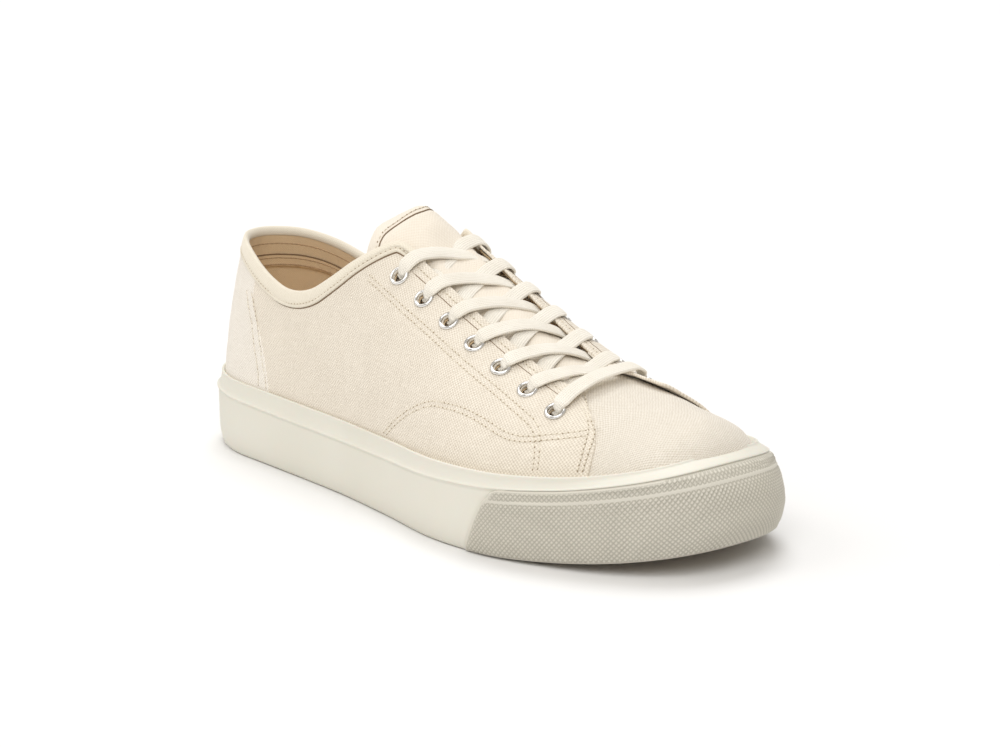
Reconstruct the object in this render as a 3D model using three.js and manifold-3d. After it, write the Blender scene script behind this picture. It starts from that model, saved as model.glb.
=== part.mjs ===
// A low canvas sneaker for the right foot, in millimetres.
// +X points to the toe, +Y to the inner (medial) side, +Z up, and it stands on z = 0.
import * as THREE from "three";
import Module from "manifold-3d";

const wasm = await Module();
wasm.setup();
const { Manifold } = wasm;

// Overall sizes
const LENGTH = 292; // sole, heel to toe
const BALL_WIDTH = 107; // widest place of the sole
const INSTEP_HEIGHT = 121; // top of the last, above the ankle opening
const HEEL_HEIGHT = 87.5; // collar at the back seam
const TOE_SPRING = 9; // how far the toe tip is off the floor
const HEEL_CURVE = 46.7; // length over which the heel rounds
const TOE_CURVE = 83.2; // length over which the toe rounds
const TOE_POWER = 2.3; // 2 is an ellipse, more is squarer

// Sole
const WALL_HEIGHT = 22; // rubber wall up to its bead, at the waist
const SOLE_HEIGHT = 30.5; // rubber wall with its upper band, at the waist
const FOOT_HEIGHT = 15; // where the foot stands, above the floor
const BOTTOM_TUCK = 1.5; // the wall's foot lies this far inside its widest line
const TOE_BOTTOM_TUCK = 2.3; // more of it at the toe tip
const TOE_WALL_LEAN = 7.5; // the bead leans back this far at the toe tip
const TOE_BAND_LEAN = 11; // and the top edge this far
const BAND_TUCK = 1.9; // the top edge lies this far inside the widest line
const BEAD_PROUD = 0.4;
const FOXING_RIM = 4.5; // depth of the wall below the foot
const TREAD_GAP = 0.6; // the outsole stands this far below the wall's foot
const ARCH_RISE = 1.2;
const GROOVE_WIDTH = 2.4;
const GROOVE_DEPTH = 1.8;
const GROOVE_PITCH = 11;
const GROOVE_EDGE = 9; // rubber left outside the ends of a groove

// Toe bumper
const BUMPER_PROUD = 1;
const BUMPER_DEPTH = 1.9;
const BUMPER_START = 206; // where it begins on the floor line
const BUMPER_SLANT = 18; // how far its edge leans forward on the way up

// Upper
const WALL = 1.6; // canvas and lining
const CANVAS = 0.8; // the quarter's cloth lies over the vamp
const COUNTER = 0.5; // heel patch over the quarter
const BINDING = 0.5; // folded tape over the collar edge
const BINDING_WIDTH = 7;
const BASE_TUCK = 3.3; // canvas inside the widest line of the sole
const TOE_TUCK = 8; // more of it at the toe tip
const RIDGE_BACK = 24; // the top line starts this far from the heel
const RIDGE_FRONT = 26; // and ends this far from the toe
const INSOLE = 4;

// Throat, eyelets and laces
const THROAT_REACH = 0.55; // the cut starts at this share of the way to the top eyelet
const THROAT_FRONT = 228;
const THROAT_HALF_BACK = 14.8; // from the throat's middle to its edge, at the top eyelet
const THROAT_HALF_FRONT = 12.2;
const THROAT_SHIFT_BACK = -0.8; // the throat's middle, medial side positive
const THROAT_SHIFT_FRONT = -6;
const EYELET_BACK = 133;
const EYELET_FRONT = 226;
const EYELETS = 7;
const EYELET_HALF = 22.4; // from the throat's middle
const EYELET_HOLE = 5.2; // diameter
const EYELET_BARREL = 6.4;
const EYELET_FLANGE = 8.6;
const EYELET_HEIGHT = 1.1;
const LACE_WIDTH = 6.5;
const LACE_THICK = 1.3;
const LACE_CLEAR = 2; // from a lace's hidden end to the facing that it dives under

// Tongue
const TONGUE_BACK = 104;
const TONGUE_FRONT = 238;
const TONGUE_HALF = 28;
const TONGUE_TAPER = 6; // narrower at the front
const TONGUE_THICK = 2.6;
const TONGUE_ROUND = 24; // length over which its top rounds
const TONGUE_LIFT = 1.8; // it bulges in the throat
const TONGUE_BEND = 6; // its top falls below the last's line

const GAP = 0.3; // between pieces that touch
const SPLITS_ALONG = 28; // facets from heel to toe on each side
const SPLITS_UP = 8; // facets from the sole to the top line

// Outline from above: share of the length, middle and half width as shares of the ball width
const PLAN = [
  { at: 0.0, middle: 0.0, half: 0.35 },
  { at: 0.13, middle: 0.0, half: 0.35 },
  { at: 0.25, middle: -0.011, half: 0.362 },
  { at: 0.4, middle: -0.034, half: 0.377 },
  { at: 0.52, middle: -0.047, half: 0.417 },
  { at: 0.64, middle: -0.048, half: 0.478 },
  { at: 0.74, middle: -0.024, half: 0.494 },
  { at: 0.84, middle: 0.006, half: 0.48 },
  { at: 0.92, middle: 0.02, half: 0.48 },
  { at: 1.0, middle: 0.02, half: 0.48 },
];

// Height of the rubber, added to its height at the waist, as shares of that height
const SOLE_LINE = [
  { at: 0.0, bead: 0.114, top: 0.049 },
  { at: 0.5, bead: 0.0, top: 0.0 },
  { at: 1.0, bead: 0.273, top: 0.066 },
];

// Sections of the last: height as a share of the instep, sideways shift as a share of the ball
// width, and how square the section is on the outer and the inner side
const LAST = [
  { at: 0.0, height: 0.975, shift: 0.0, outer: 1.7, inner: 1.7 },
  { at: 0.15, height: 1.0, shift: 0.0, outer: 1.73, inner: 1.73 },
  { at: 0.3, height: 0.992, shift: 0.014, outer: 1.88, inner: 1.98 },
  { at: 0.38, height: 0.926, shift: 0.023, outer: 2.05, inner: 2.2 },
  { at: 0.48, height: 0.802, shift: 0.028, outer: 2.05, inner: 2.2 },
  { at: 0.6, height: 0.669, shift: 0.028, outer: 1.95, inner: 2.05 },
  { at: 0.7, height: 0.574, shift: 0.028, outer: 1.9, inner: 1.85 },
  { at: 0.78, height: 0.512, shift: 0.028, outer: 1.95, inner: 1.7 },
  { at: 0.88, height: 0.463, shift: 0.037, outer: 2.0, inner: 1.7 },
  { at: 1.0, height: 0.421, shift: 0.047, outer: 1.95, inner: 1.95 },
];

// Collar line from the side: share of the way from the heel to the top eyelet, height as shares of
// the heel height and of the top eyelet's height, and the share of its width that the tape keeps
const COLLAR = [
  { at: -0.088, heel: 1.005, front: 0.0, share: 1.0 },
  { at: 0.059, heel: 1.0, front: 0.0, share: 1.0 },
  { at: 0.143, heel: 0.99, front: 0.0, share: 1.0 },
  { at: 0.202, heel: 0.973, front: 0.0, share: 1.0 },
  { at: 0.263, heel: 0.947, front: 0.0, share: 1.0 },
  { at: 0.338, heel: 0.905, front: 0.0, share: 1.0 },
  { at: 0.413, heel: 0.865, front: 0.0, share: 1.0 },
  { at: 0.487, heel: 0.838, front: 0.0, share: 1.0 },
  { at: 0.549, heel: 0.834, front: 0.0, share: 1.0 },
  { at: 0.604, heel: 0.845, front: 0.0, share: 1.0 },
  { at: 0.659, heel: 0.87, front: 0.0, share: 1.0 },
  { at: 0.707, heel: 0.683, front: 0.226, share: 1.0 },
  { at: 0.757, heel: 0.478, front: 0.476, share: 1.0 },
  { at: 0.812, heel: 0.253, front: 0.757, share: 0.95 },
  { at: 0.878, heel: 0.0, front: 1.071, share: 0.85 },
  { at: 0.922, heel: 0.0, front: 1.108, share: 0.7 },
  { at: 0.947, heel: 0.0, front: 1.121, share: 0.6 },
  { at: 0.992, heel: 0.0, front: 1.115, share: 0.5 },
];

// Front edge of the quarter from above: share of the length, and how far out from the throat's
// middle as a share of the ball width
const QUARTER_FRONT = [
  { at: 0.74, out: 0.06 },
  { at: 0.772, out: 0.105 },
  { at: 0.798, out: 0.125 },
  { at: 0.83, out: 0.17 },
  { at: 0.848, out: 0.212 },
  { at: 0.857, out: 0.26 },
  { at: 0.863, out: 0.32 },
  { at: 0.868, out: 0.7 },
];

// Front edge of the heel patch from the side: shares of the length and of the heel height
const COUNTER_EDGE = [
  { at: 0.142, height: 1.1 },
  { at: 0.147, height: 0.75 },
  { at: 0.175, height: 0.62 },
  { at: 0.197, height: 0.494 },
  { at: 0.212, height: 0.366 },
  { at: 0.217, height: 0.2 },
];

// One lace from its eyelet to where it dives at the far facing: share of that way, share of the
// eyelet pitch that it moves forward, height of its middle above the last
const STRAP = [
  { across: 0.0, forward: -0.02, height: 3.3 },
  { across: 0.13, forward: 0.05, height: 3.6 },
  { across: 0.32, forward: 0.15, height: 3.1 },
  { across: 0.6, forward: 0.29, height: 3.1 },
  { across: 0.85, forward: 0.41, height: 2.2 },
  { across: 1.0, forward: 0.47, height: 1.1 },
];

const clamp = (v, low = 0, high = 1) => Math.min(high, Math.max(low, v));
const mix = (a, b, share) => a + (b - a) * share;
const OUTER = -1;
const INNER = 1;

// Smooth curve through a column of a table.
function through(rows, column, at) {
  const last = rows.length - 1;
  let k = 0;
  while (k < last - 1 && at > rows[k + 1].at) k += 1;
  const slope = (i) => {
    const a = rows[Math.max(i - 1, 0)];
    const b = rows[Math.min(i + 1, last)];
    return (b[column] - a[column]) / (b.at - a.at);
  };
  const span = rows[k + 1].at - rows[k].at;
  const u = clamp((at - rows[k].at) / span);
  const rise = rows[k + 1][column] - rows[k][column];
  const ease = u * u * (3 - 2 * u);
  const start = u * (1 - u) * (1 - u) * span * slope(k);
  const end = u * u * (u - 1) * span * slope(k + 1);
  return rows[k][column] + ease * rise + start + end;
}

const shareAt = (t) => (1 - Math.cos(Math.PI * t)) / 2;
const turnAt = (share) => Math.acos(1 - 2 * clamp(share)) / Math.PI;

// The outline's width falls away at the heel and at the toe.
function roundEnds(share) {
  const heel = clamp(1 - (share * LENGTH) / HEEL_CURVE);
  const toe = clamp(((share - 1) * LENGTH + TOE_CURVE) / TOE_CURVE);
  return Math.sqrt(1 - heel * heel) * (1 - toe ** TOE_POWER) ** (1 / TOE_POWER);
}

function outline(t, side) {
  const share = shareAt(t);
  const middle = through(PLAN, "middle", share);
  const half = through(PLAN, "half", share) * roundEnds(share);
  return [share * LENGTH, BALL_WIDTH * (middle + side * half)];
}

// Point of the outline at t (0 heel, 1 toe), moved in by inset.
function plan(t, side, inset) {
  const step = 1e-4;
  const [x0, y0] = outline(clamp(t - step), side);
  const [x1, y1] = outline(clamp(t + step), side);
  let dx = x1 - x0;
  let dy = y1 - y0;
  if (t < step || t > 1 - step) {
    dx = 0;
    dy = t < step ? side : -side;
  }
  const size = Math.hypot(dx, dy);
  const [x, y] = outline(t, side);
  return [x + (side * inset * dy) / size, y - (side * inset * dx) / size];
}

const spring = (x) => TOE_SPRING * clamp((x / LENGTH - 0.7) / 0.3) ** 2;
const beadHeight = (x) => WALL_HEIGHT * (1 + through(SOLE_LINE, "bead", x / LENGTH)) + spring(x);
const soleHeight = (x) => SOLE_HEIGHT * (1 + through(SOLE_LINE, "top", x / LENGTH)) + spring(x);
const toeShare = (x) => clamp((x / LENGTH - 0.84) / 0.16) ** 1.3;

// Point of the last at t along one side and angle from its base to its top line, grown by off.
function lastPoint(t, side, angle, off) {
  const share = shareAt(t);
  const wide = plan(t, side, 0)[0];
  const [bx, by] = plan(t, side, BASE_TUCK - off + TOE_TUCK * toeShare(wide));
  const tx = mix(RIDGE_BACK, LENGTH - RIDGE_FRONT, share);
  const ty = BALL_WIDTH * through(LAST, "shift", share);
  const tz = INSTEP_HEIGHT * through(LAST, "height", share) + off;
  const square = through(LAST, side === OUTER ? "outer" : "inner", share);
  const base = FOOT_HEIGHT + spring(bx);
  const inward = clamp(Math.cos(angle)) ** (2 / square);
  const upward = clamp(Math.sin(angle)) ** (2 / square);
  return [tx + (bx - tx) * inward, ty + (by - ty) * inward, base + (tz - base) * upward];
}

// Point of the last over x and y, grown by off.
function lastAt(x, y, off) {
  let share = clamp((x - RIDGE_BACK) / (LENGTH - RIDGE_BACK - RIDGE_FRONT));
  let point = [x, y, 0];
  for (let pass = 0; pass < 12; pass += 1) {
    const t = turnAt(share);
    const side = y < BALL_WIDTH * through(LAST, "shift", share) ? OUTER : INNER;
    const [, ridge] = lastPoint(t, side, Math.PI / 2, off);
    const [, base] = lastPoint(t, side, 0, off);
    const square = through(LAST, side === OUTER ? "outer" : "inner", share);
    const inward = clamp((y - ridge) / (base - ridge));
    point = lastPoint(t, side, Math.acos(inward ** (square / 2)), off);
    share = clamp(share + (x - point[0]) / LENGTH);
  }
  return point;
}

// The last's own axes over x and y: out of the surface, towards the toe, and across.
function lastAxes(x, y, off) {
  const at = (px, py) => new THREE.Vector3(...lastAt(px, py, off));
  const toToe = at(x + 1, y).sub(at(x - 1, y)).normalize();
  const across = at(x, y + 1).sub(at(x, y - 1)).normalize();
  const out = new THREE.Vector3().crossVectors(toToe, across).normalize();
  return { out, toToe, across: new THREE.Vector3().crossVectors(out, toToe) };
}

// A solid from triangles given as corner points. Equal corners are joined.
function solidOf(triangles) {
  const index = new Map();
  const points = [];
  const faces = [];
  const corner = (p) => {
    const key = p.map((v) => Math.round(v * 2000)).join(" ");
    if (!index.has(key)) {
      index.set(key, points.length / 3);
      points.push(...p);
    }
    return index.get(key);
  };
  for (const triangle of triangles) {
    const [a, b, c] = triangle.map(corner);
    if (a !== b && b !== c && a !== c) faces.push(a, b, c);
  }
  const build = (order) =>
    new Manifold(
      new wasm.Mesh({
        numProp: 3,
        vertProperties: new Float32Array(points),
        triVerts: new Uint32Array(order),
      }),
    );
  const made = build(faces);
  return made.volume() > 0 ? made : build(faces.reverse());
}

// Closed rings of points joined one to the next, with flat ends, or joined end to end.
function loft(rings, endless = false) {
  const triangles = [];
  const quad = (a, b, c, d) => triangles.push([a, b, c], [a, c, d]);
  const count = rings.length;
  for (let i = 0; i < (endless ? count : count - 1); i += 1) {
    const near = rings[i];
    const far = rings[(i + 1) % count];
    near.forEach((p, j) => {
      const k = (j + 1) % near.length;
      quad(p, near[k], far[k], far[j]);
    });
  }
  if (!endless) {
    capOf(rings[0]).forEach((face) => triangles.push(face.reverse()));
    capOf(rings[count - 1]).forEach((face) => triangles.push(face));
  }
  return solidOf(triangles);
}

// Fills a ring with a fan from its middle. A ring folded flat needs none.
function capOf(ring) {
  const [a, ...rest] = ring.map((p) => new THREE.Vector3(...p));
  const area = new THREE.Vector3();
  for (let i = 1; i < rest.length; i += 1) {
    area.add(new THREE.Vector3().crossVectors(rest[i - 1].clone().sub(a), rest[i].clone().sub(a)));
  }
  if (area.length() < 1e-3) return [];
  const middle = [0, 1, 2].map((k) => ring.reduce((sum, p) => sum + p[k], 0) / ring.length);
  return ring.map((p, i) => [p, ring[(i + 1) % ring.length], middle]);
}

// The last as a solid, grown by off, with its base lowered by drop.
function lastSolid(off, drop = 0) {
  const rings = [];
  for (let i = 0; i <= SPLITS_ALONG; i += 1) {
    const t = i / SPLITS_ALONG;
    const ring = [];
    for (let j = 0; j <= SPLITS_UP; j += 1) {
      ring.push(lastPoint(t, OUTER, (Math.PI / 2) * (j / SPLITS_UP), off));
    }
    for (let j = SPLITS_UP - 1; j >= 0; j -= 1) {
      ring.push(lastPoint(t, INNER, (Math.PI / 2) * (j / SPLITS_UP), off));
    }
    if (drop) {
      const lower = (p) => [p[0], p[1], p[2] - drop];
      ring.push(lower(ring[ring.length - 1]), lower(ring[0]));
    }
    rings.push(ring);
  }
  return loft(rings);
}

// Stations all round the outline, from the heel along the outer side to the toe and back.
function stations(count = SPLITS_ALONG) {
  const list = [];
  for (let i = 0; i < count; i += 1) list.push({ t: i / count, side: OUTER });
  for (let i = count; i > 0; i -= 1) list.push({ t: i / count, side: INNER });
  return list;
}

// A band all round the sole, from a section given as insets and heights at each x.
function bandAround(section) {
  const rings = stations().map(({ t, side }) => {
    const x = plan(t, side, 0)[0];
    return section(x).map(([inset, z]) => [...plan(t, side, inset), z]);
  });
  return loft(rings, true);
}

// A block inside the outline, between two heights that follow x.
function blockInside(inset, low, high) {
  const rings = [];
  for (let i = 0; i <= SPLITS_ALONG; i += 1) {
    const t = i / SPLITS_ALONG;
    const x = plan(t, OUTER, 0)[0];
    const [ax, ay] = plan(t, OUTER, inset(x));
    const [bx, by] = plan(t, INNER, inset(x));
    rings.push([
      [ax, ay, low(ax)],
      [bx, by, low(bx)],
      [bx, by, high(bx)],
      [ax, ay, high(ax)],
    ]);
  }
  return loft(rings);
}

// A block with an outline given as points: seen from the side (x, z) or from above (x, y).
function prism(points, from, to, seenFrom) {
  const shape = new THREE.Shape(points.map(([a, b]) => new THREE.Vector2(a, b)));
  const flat = new THREE.ExtrudeGeometry(shape, { depth: to - from, bevelEnabled: false });
  if (seenFrom === "side") flat.rotateX(Math.PI / 2).translate(0, to, 0);
  else flat.translate(0, 0, from);
  return solidFrom(flat);
}

function solidFrom(geometry) {
  const raw = geometry.index ? geometry.toNonIndexed() : geometry;
  const at = raw.getAttribute("position");
  const triangles = [];
  for (let i = 0; i < at.count; i += 3) {
    triangles.push([0, 1, 2].map((k) => [at.getX(i + k), at.getY(i + k), at.getZ(i + k)]));
  }
  return solidOf(triangles);
}

const FAR = LENGTH; // reaches past everything

// Inset of the rubber wall at a share of the height up to its bead.
function wallInset(share, x) {
  const toe = toeShare(x);
  const foot = (BOTTOM_TUCK + TOE_BOTTOM_TUCK * toe) * clamp(1 - share / 0.4) ** 2;
  return foot + TOE_WALL_LEAN * toe * clamp((share - 0.4) / 0.6) ** 2;
}

// The upper stands on this ledge, which runs on as the top of the outsole.
const shelfHeight = (x) => FOOT_HEIGHT + spring(x) - GAP;

// Inner face of the wall below the foot.
function rimInset(x) {
  return FOXING_RIM + TOE_TUCK * toeShare(x);
}

function foxingSection(x) {
  const toe = toeShare(x);
  const foot = spring(x) + TREAD_GAP;
  const bead = beadHeight(x);
  const top = soleHeight(x);
  const up = (share) => mix(foot, bead, share);
  const inset = (share) => wallInset(share, x);
  const rim = rimInset(x);
  return [
    [inset(0) + 0.9, foot],
    [inset(0.07), up(0.07)],
    [inset(0.4), up(0.4)],
    [inset(0.96), up(0.96)],
    [inset(1) - BEAD_PROUD, bead],
    [inset(1) - BEAD_PROUD + 0.1, bead + 0.7],
    [inset(1) + BEAD_PROUD + 0.2, bead + 1.1],
    [BAND_TUCK + TOE_BAND_LEAN * toe - 0.2, top - 0.6],
    [BAND_TUCK + TOE_BAND_LEAN * toe + 0.4, top],
    [rim + TOE_BAND_LEAN * toe, top],
    [rim, shelfHeight(x)],
    [rim, foot],
  ];
}

// The bumper's section, grown on every side by extra.
function bumperSection(extra) {
  return (x) => {
    const foot = spring(x) + TREAD_GAP + 0.4 - extra;
    const bead = beadHeight(x) - 0.6 + extra;
    const up = (share) => mix(foot, bead, share);
    const out = (share) => wallInset(share, x) - BUMPER_PROUD - extra;
    const back = (share) => wallInset(share, x) - BUMPER_PROUD + BUMPER_DEPTH + extra;
    return [
      [out(0) + 0.8, up(0)],
      [out(0.07), up(0.07)],
      [out(0.4), up(0.4)],
      [out(0.7), up(0.7)],
      [out(0.95), up(0.95)],
      [out(1) + 0.6, up(1)],
      [back(1), up(1)],
      [back(0.4), up(0.4)],
      [back(0), up(0)],
    ];
  };
}

// Everything ahead of the bumper's slanted edge, moved back by extra.
function aheadOfBumperEdge(extra) {
  const back = BUMPER_START - extra;
  const top = WALL_HEIGHT * 1.12;
  return prism(
    [
      [back - BUMPER_SLANT * 0.1, -5],
      [back, 0],
      [back + BUMPER_SLANT * 0.33, top * 0.52],
      [back + BUMPER_SLANT * 0.53, top * 0.78],
      [back + BUMPER_SLANT * 0.8, top * 0.98],
      [back + BUMPER_SLANT * 1.3, top * 1.13],
      [LENGTH + FAR, top * 1.2],
      [LENGTH + FAR, top * 3],
      [LENGTH + 2 * FAR, top * 3],
      [LENGTH + 2 * FAR, -5],
    ].map(([x, z]) => (x > LENGTH ? [x, z > 0 ? FAR : -5] : [x, z])),
    -FAR,
    FAR,
    "side",
  );
}

function bumperSolid(extra = 0) {
  return bandAround(bumperSection(extra)).intersect(aheadOfBumperEdge(extra));
}

function foxing() {
  return bandAround(foxingSection).subtract(lastSolid(GAP, GAP)).subtract(bumperSolid(GAP));
}

// The bottom plate: flat under the heel and the ball, hollowed a little under the arch.
function outsole() {
  const arch = (x) => ARCH_RISE * clamp(1 - Math.abs(x / LENGTH - 0.46) / 0.12) ** 0.7;
  const plate = blockInside(
    (x) => rimInset(x) + GAP,
    (x) => spring(x) + arch(x),
    shelfHeight,
  );
  return plate.subtract(treadGrooves());
}

// Straight grooves across the heel and across the ball.
function treadGrooves() {
  const grooves = [];
  const zones = [
    { from: 0.07, to: 0.3 },
    { from: 0.6, to: 0.9 },
  ];
  for (const { from, to } of zones) {
    for (let x = from * LENGTH; x < to * LENGTH; x += GROOVE_PITCH) {
      const t = turnAt(x / LENGTH);
      const inset = FOXING_RIM + GROOVE_EDGE + TOE_TUCK * toeShare(x);
      const low = plan(t, OUTER, inset)[1];
      const high = plan(t, INNER, inset)[1];
      const top = spring(x) + GROOVE_DEPTH;
      const box = new THREE.BoxGeometry(GROOVE_WIDTH, high - low, top + 5);
      box.translate(x, (low + high) / 2, (top - 5) / 2);
      grooves.push(solidFrom(box));
    }
  }
  return Manifold.union(grooves);
}

const throatMiddle = (x) =>
  mix(THROAT_SHIFT_BACK, THROAT_SHIFT_FRONT, (x - EYELET_BACK) / (EYELET_FRONT - EYELET_BACK));
const throatHalf = (x) =>
  mix(THROAT_HALF_BACK, THROAT_HALF_FRONT, (x - EYELET_BACK) / (EYELET_FRONT - EYELET_BACK));

// The opening between the facings, with its rounded front end.
function throatCut() {
  const back = EYELET_BACK * THROAT_REACH;
  const edge = [];
  for (const x of [back, EYELET_BACK + 10, THROAT_FRONT - 14, THROAT_FRONT - 6, THROAT_FRONT - 1.5]) {
    const left = (THROAT_FRONT - x) / 14;
    const round = left < 1 ? Math.sqrt(1 - (1 - left) ** 2) : 1;
    edge.push([x, throatHalf(x) * round]);
  }
  const points = [
    ...edge.map(([x, half]) => [x, throatMiddle(x) - half]),
    [THROAT_FRONT, throatMiddle(THROAT_FRONT)],
    ...edge.reverse().map(([x, half]) => [x, throatMiddle(x) + half]),
  ];
  return prism(points, FOOT_HEIGHT + INSOLE, FAR, "above");
}

// Height of the canvas at the top eyelet, which the front of the collar follows.
const topEyelet = lastAt(EYELET_BACK, throatMiddle(EYELET_BACK) - EYELET_HALF, CANVAS)[2];

// The collar line as points from the back to the top of the facings, moved down by lower, and
// by less of it towards the top eyelet.
function collarLine(lower = 0) {
  const line = COLLAR.map(({ at, heel, front }) => [
    at * EYELET_BACK,
    heel * HEEL_HEIGHT + front * topEyelet,
  ]);
  return line.map(([x, z], i) => {
    const a = line[Math.max(i - 1, 0)];
    const b = line[Math.min(i + 1, line.length - 1)];
    const dx = b[0] - a[0];
    const dz = b[1] - a[1];
    const down = (lower * COLLAR[i].share) / Math.hypot(dx, dz);
    return [x + down * dz, z - down * dx];
  });
}

// Everything above the collar line.
function aboveCollar(lower = 0) {
  const line = collarLine(lower);
  const [endX, endZ] = line[line.length - 1];
  const points = [...line, [endX + 12, endZ + 3], [endX + 12, FAR], [-FAR, FAR], [-FAR, line[0][1]]];
  return prism(points, -FAR, FAR, "side");
}

// Everything behind the quarter's front edge, on both sides of the throat.
function behindQuarterFront() {
  const edge = QUARTER_FRONT.map(({ at, out }) => [at * LENGTH, out * BALL_WIDTH]);
  const points = [
    [-FAR, -FAR],
    ...edge.reverse().map(([x, out]) => [x, throatMiddle(x) - out]),
    ...edge.reverse().map(([x, out]) => [x, throatMiddle(x) + out]),
    [-FAR, FAR],
  ];
  return prism(points, 0, FAR, "above");
}

function behindCounterEdge() {
  const edge = COUNTER_EDGE.map(({ at, height }) => [at * LENGTH, height * HEEL_HEIGHT]);
  return prism([...edge, [-FAR, 0], [-FAR, FAR]], -FAR, FAR, "side");
}

// Everything above the rubber's top edge.
function aboveSole() {
  return blockInside(
    () => -20,
    (x) => soleHeight(x) + GAP,
    () => FAR,
  );
}

// The canvas shell, with the quarter, the heel patch and the collar tape as steps in its wall.
function upper() {
  const clear = aboveSole();
  const quarter = lastSolid(CANVAS).intersect(behindQuarterFront()).intersect(clear);
  const patch = lastSolid(CANVAS + COUNTER).intersect(behindCounterEdge()).intersect(clear);
  const tape = lastSolid(CANVAS + COUNTER + BINDING).intersect(aboveCollar(BINDING_WIDTH));
  const seats = eyeletPlaces().map(({ place }) => disc(EYELET_FLANGE / 2 + GAP, 12, place));
  return lastSolid(0)
    .add(quarter)
    .add(patch)
    .add(tape.subtract(Manifold.union(seats)))
    .subtract(lastSolid(-WALL, 4))
    .subtract(aboveCollar())
    .subtract(throatCut())
    .subtract(Manifold.union(eyeletPlaces().map(({ place }) => disc(EYELET_BARREL / 2 + GAP, 12, place))));
}

function insole() {
  const base = (x) => FOOT_HEIGHT + spring(x);
  const slab = blockInside(
    () => 0,
    base,
    (x) => base(x) + INSOLE,
  );
  return lastSolid(-WALL - GAP - 0.1, 1).intersect(slab);
}

// Where each eyelet sits: its x, its side and the matrix that stands it on the quarter.
function eyeletPlaces() {
  const places = [];
  for (const side of [OUTER, INNER]) {
    for (let i = 0; i < EYELETS; i += 1) {
      const x = mix(EYELET_BACK, EYELET_FRONT, i / (EYELETS - 1));
      const y = throatMiddle(x) + side * EYELET_HALF;
      const axes = lastAxes(x, y, CANVAS);
      const place = new THREE.Matrix4().makeBasis(axes.toToe, axes.across, axes.out);
      place.setPosition(...lastAt(x, y, CANVAS));
      places.push({ x, side, number: i + 1, place });
    }
  }
  return places;
}

// A short round rod across the wall at a place.
function disc(radius, half, place) {
  const rod = new THREE.CylinderGeometry(radius, radius, half, 12);
  rod.rotateX(Math.PI / 2).applyMatrix4(place);
  return solidFrom(rod);
}

// A metal ring: a barrel through the wall and a rolled flange on it.
function eyelet(place) {
  const hole = EYELET_HOLE / 2;
  const barrel = EYELET_BARREL / 2;
  const flange = EYELET_FLANGE / 2;
  const profile = [
    [hole, GAP - WALL - CANVAS],
    [barrel, GAP - WALL - CANVAS],
    [barrel, GAP],
    [flange, GAP],
    [flange - 0.6, EYELET_HEIGHT],
    [hole, EYELET_HEIGHT - 0.3],
    [hole, GAP - WALL - CANVAS],
  ].map(([r, z]) => new THREE.Vector2(r, z));
  const ring = new THREE.LatheGeometry(profile, 10);
  ring.rotateX(Math.PI / 2).applyMatrix4(place);
  return solidFrom(ring);
}

// A flat ribbon along points over the last, each with x, y and the height of its middle.
function ribbon(path) {
  const middles = path.map(({ x, y, height }) => {
    const axes = lastAxes(x, y, 0);
    const at = new THREE.Vector3(...lastAt(x, y, 0)).addScaledVector(axes.out, height);
    return { at, out: axes.out };
  });
  const rings = middles.map(({ at, out }, i) => {
    const before = middles[Math.max(i - 1, 0)].at;
    const after = middles[Math.min(i + 1, middles.length - 1)].at;
    const along = after.clone().sub(before).normalize();
    const wide = new THREE.Vector3().crossVectors(out, along).normalize();
    const thick = new THREE.Vector3().crossVectors(along, wide);
    const corner = (w, h) => {
      const point = at.clone().addScaledVector(wide, (w * LACE_WIDTH) / 2);
      return point.addScaledVector(thick, (h * LACE_THICK) / 2).toArray();
    };
    return [corner(-1, -1), corner(1, -1), corner(1, 1), corner(-1, 1)];
  });
  return loft(rings);
}

const eyeletPitch = (EYELET_FRONT - EYELET_BACK) / (EYELETS - 1);

// The lace from eyelet number i on one side to the other facing's edge.
function strap(i, side, raise) {
  const start = EYELET_BACK + i * eyeletPitch;
  return STRAP.map(({ across, forward, height }) => {
    const x = start + forward * eyeletPitch;
    const end = throatHalf(x) - LACE_CLEAR;
    const y = throatMiddle(x) + side * mix(EYELET_HALF, -end, across);
    const lift = raise * clamp(Math.sin(Math.PI * across));
    return { x, y, height: height + lift };
  });
}

// Two laces from one pair of eyelets, crossing over the tongue.
function laceCross(i) {
  return ribbon(strap(i, OUTER, 0)).add(ribbon(strap(i, INNER, 0.9)));
}

// The lowest lace runs straight across.
function laceBar() {
  const x = EYELET_FRONT;
  const path = [];
  for (const across of [0, 0.1, 0.25, 0.5, 0.75, 0.9, 1]) {
    const y = throatMiddle(x) + EYELET_HALF * (2 * across - 1);
    path.push({ x, y, height: 3.3 + 0.4 * Math.sin(Math.PI * across) });
  }
  return ribbon(path);
}

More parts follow.
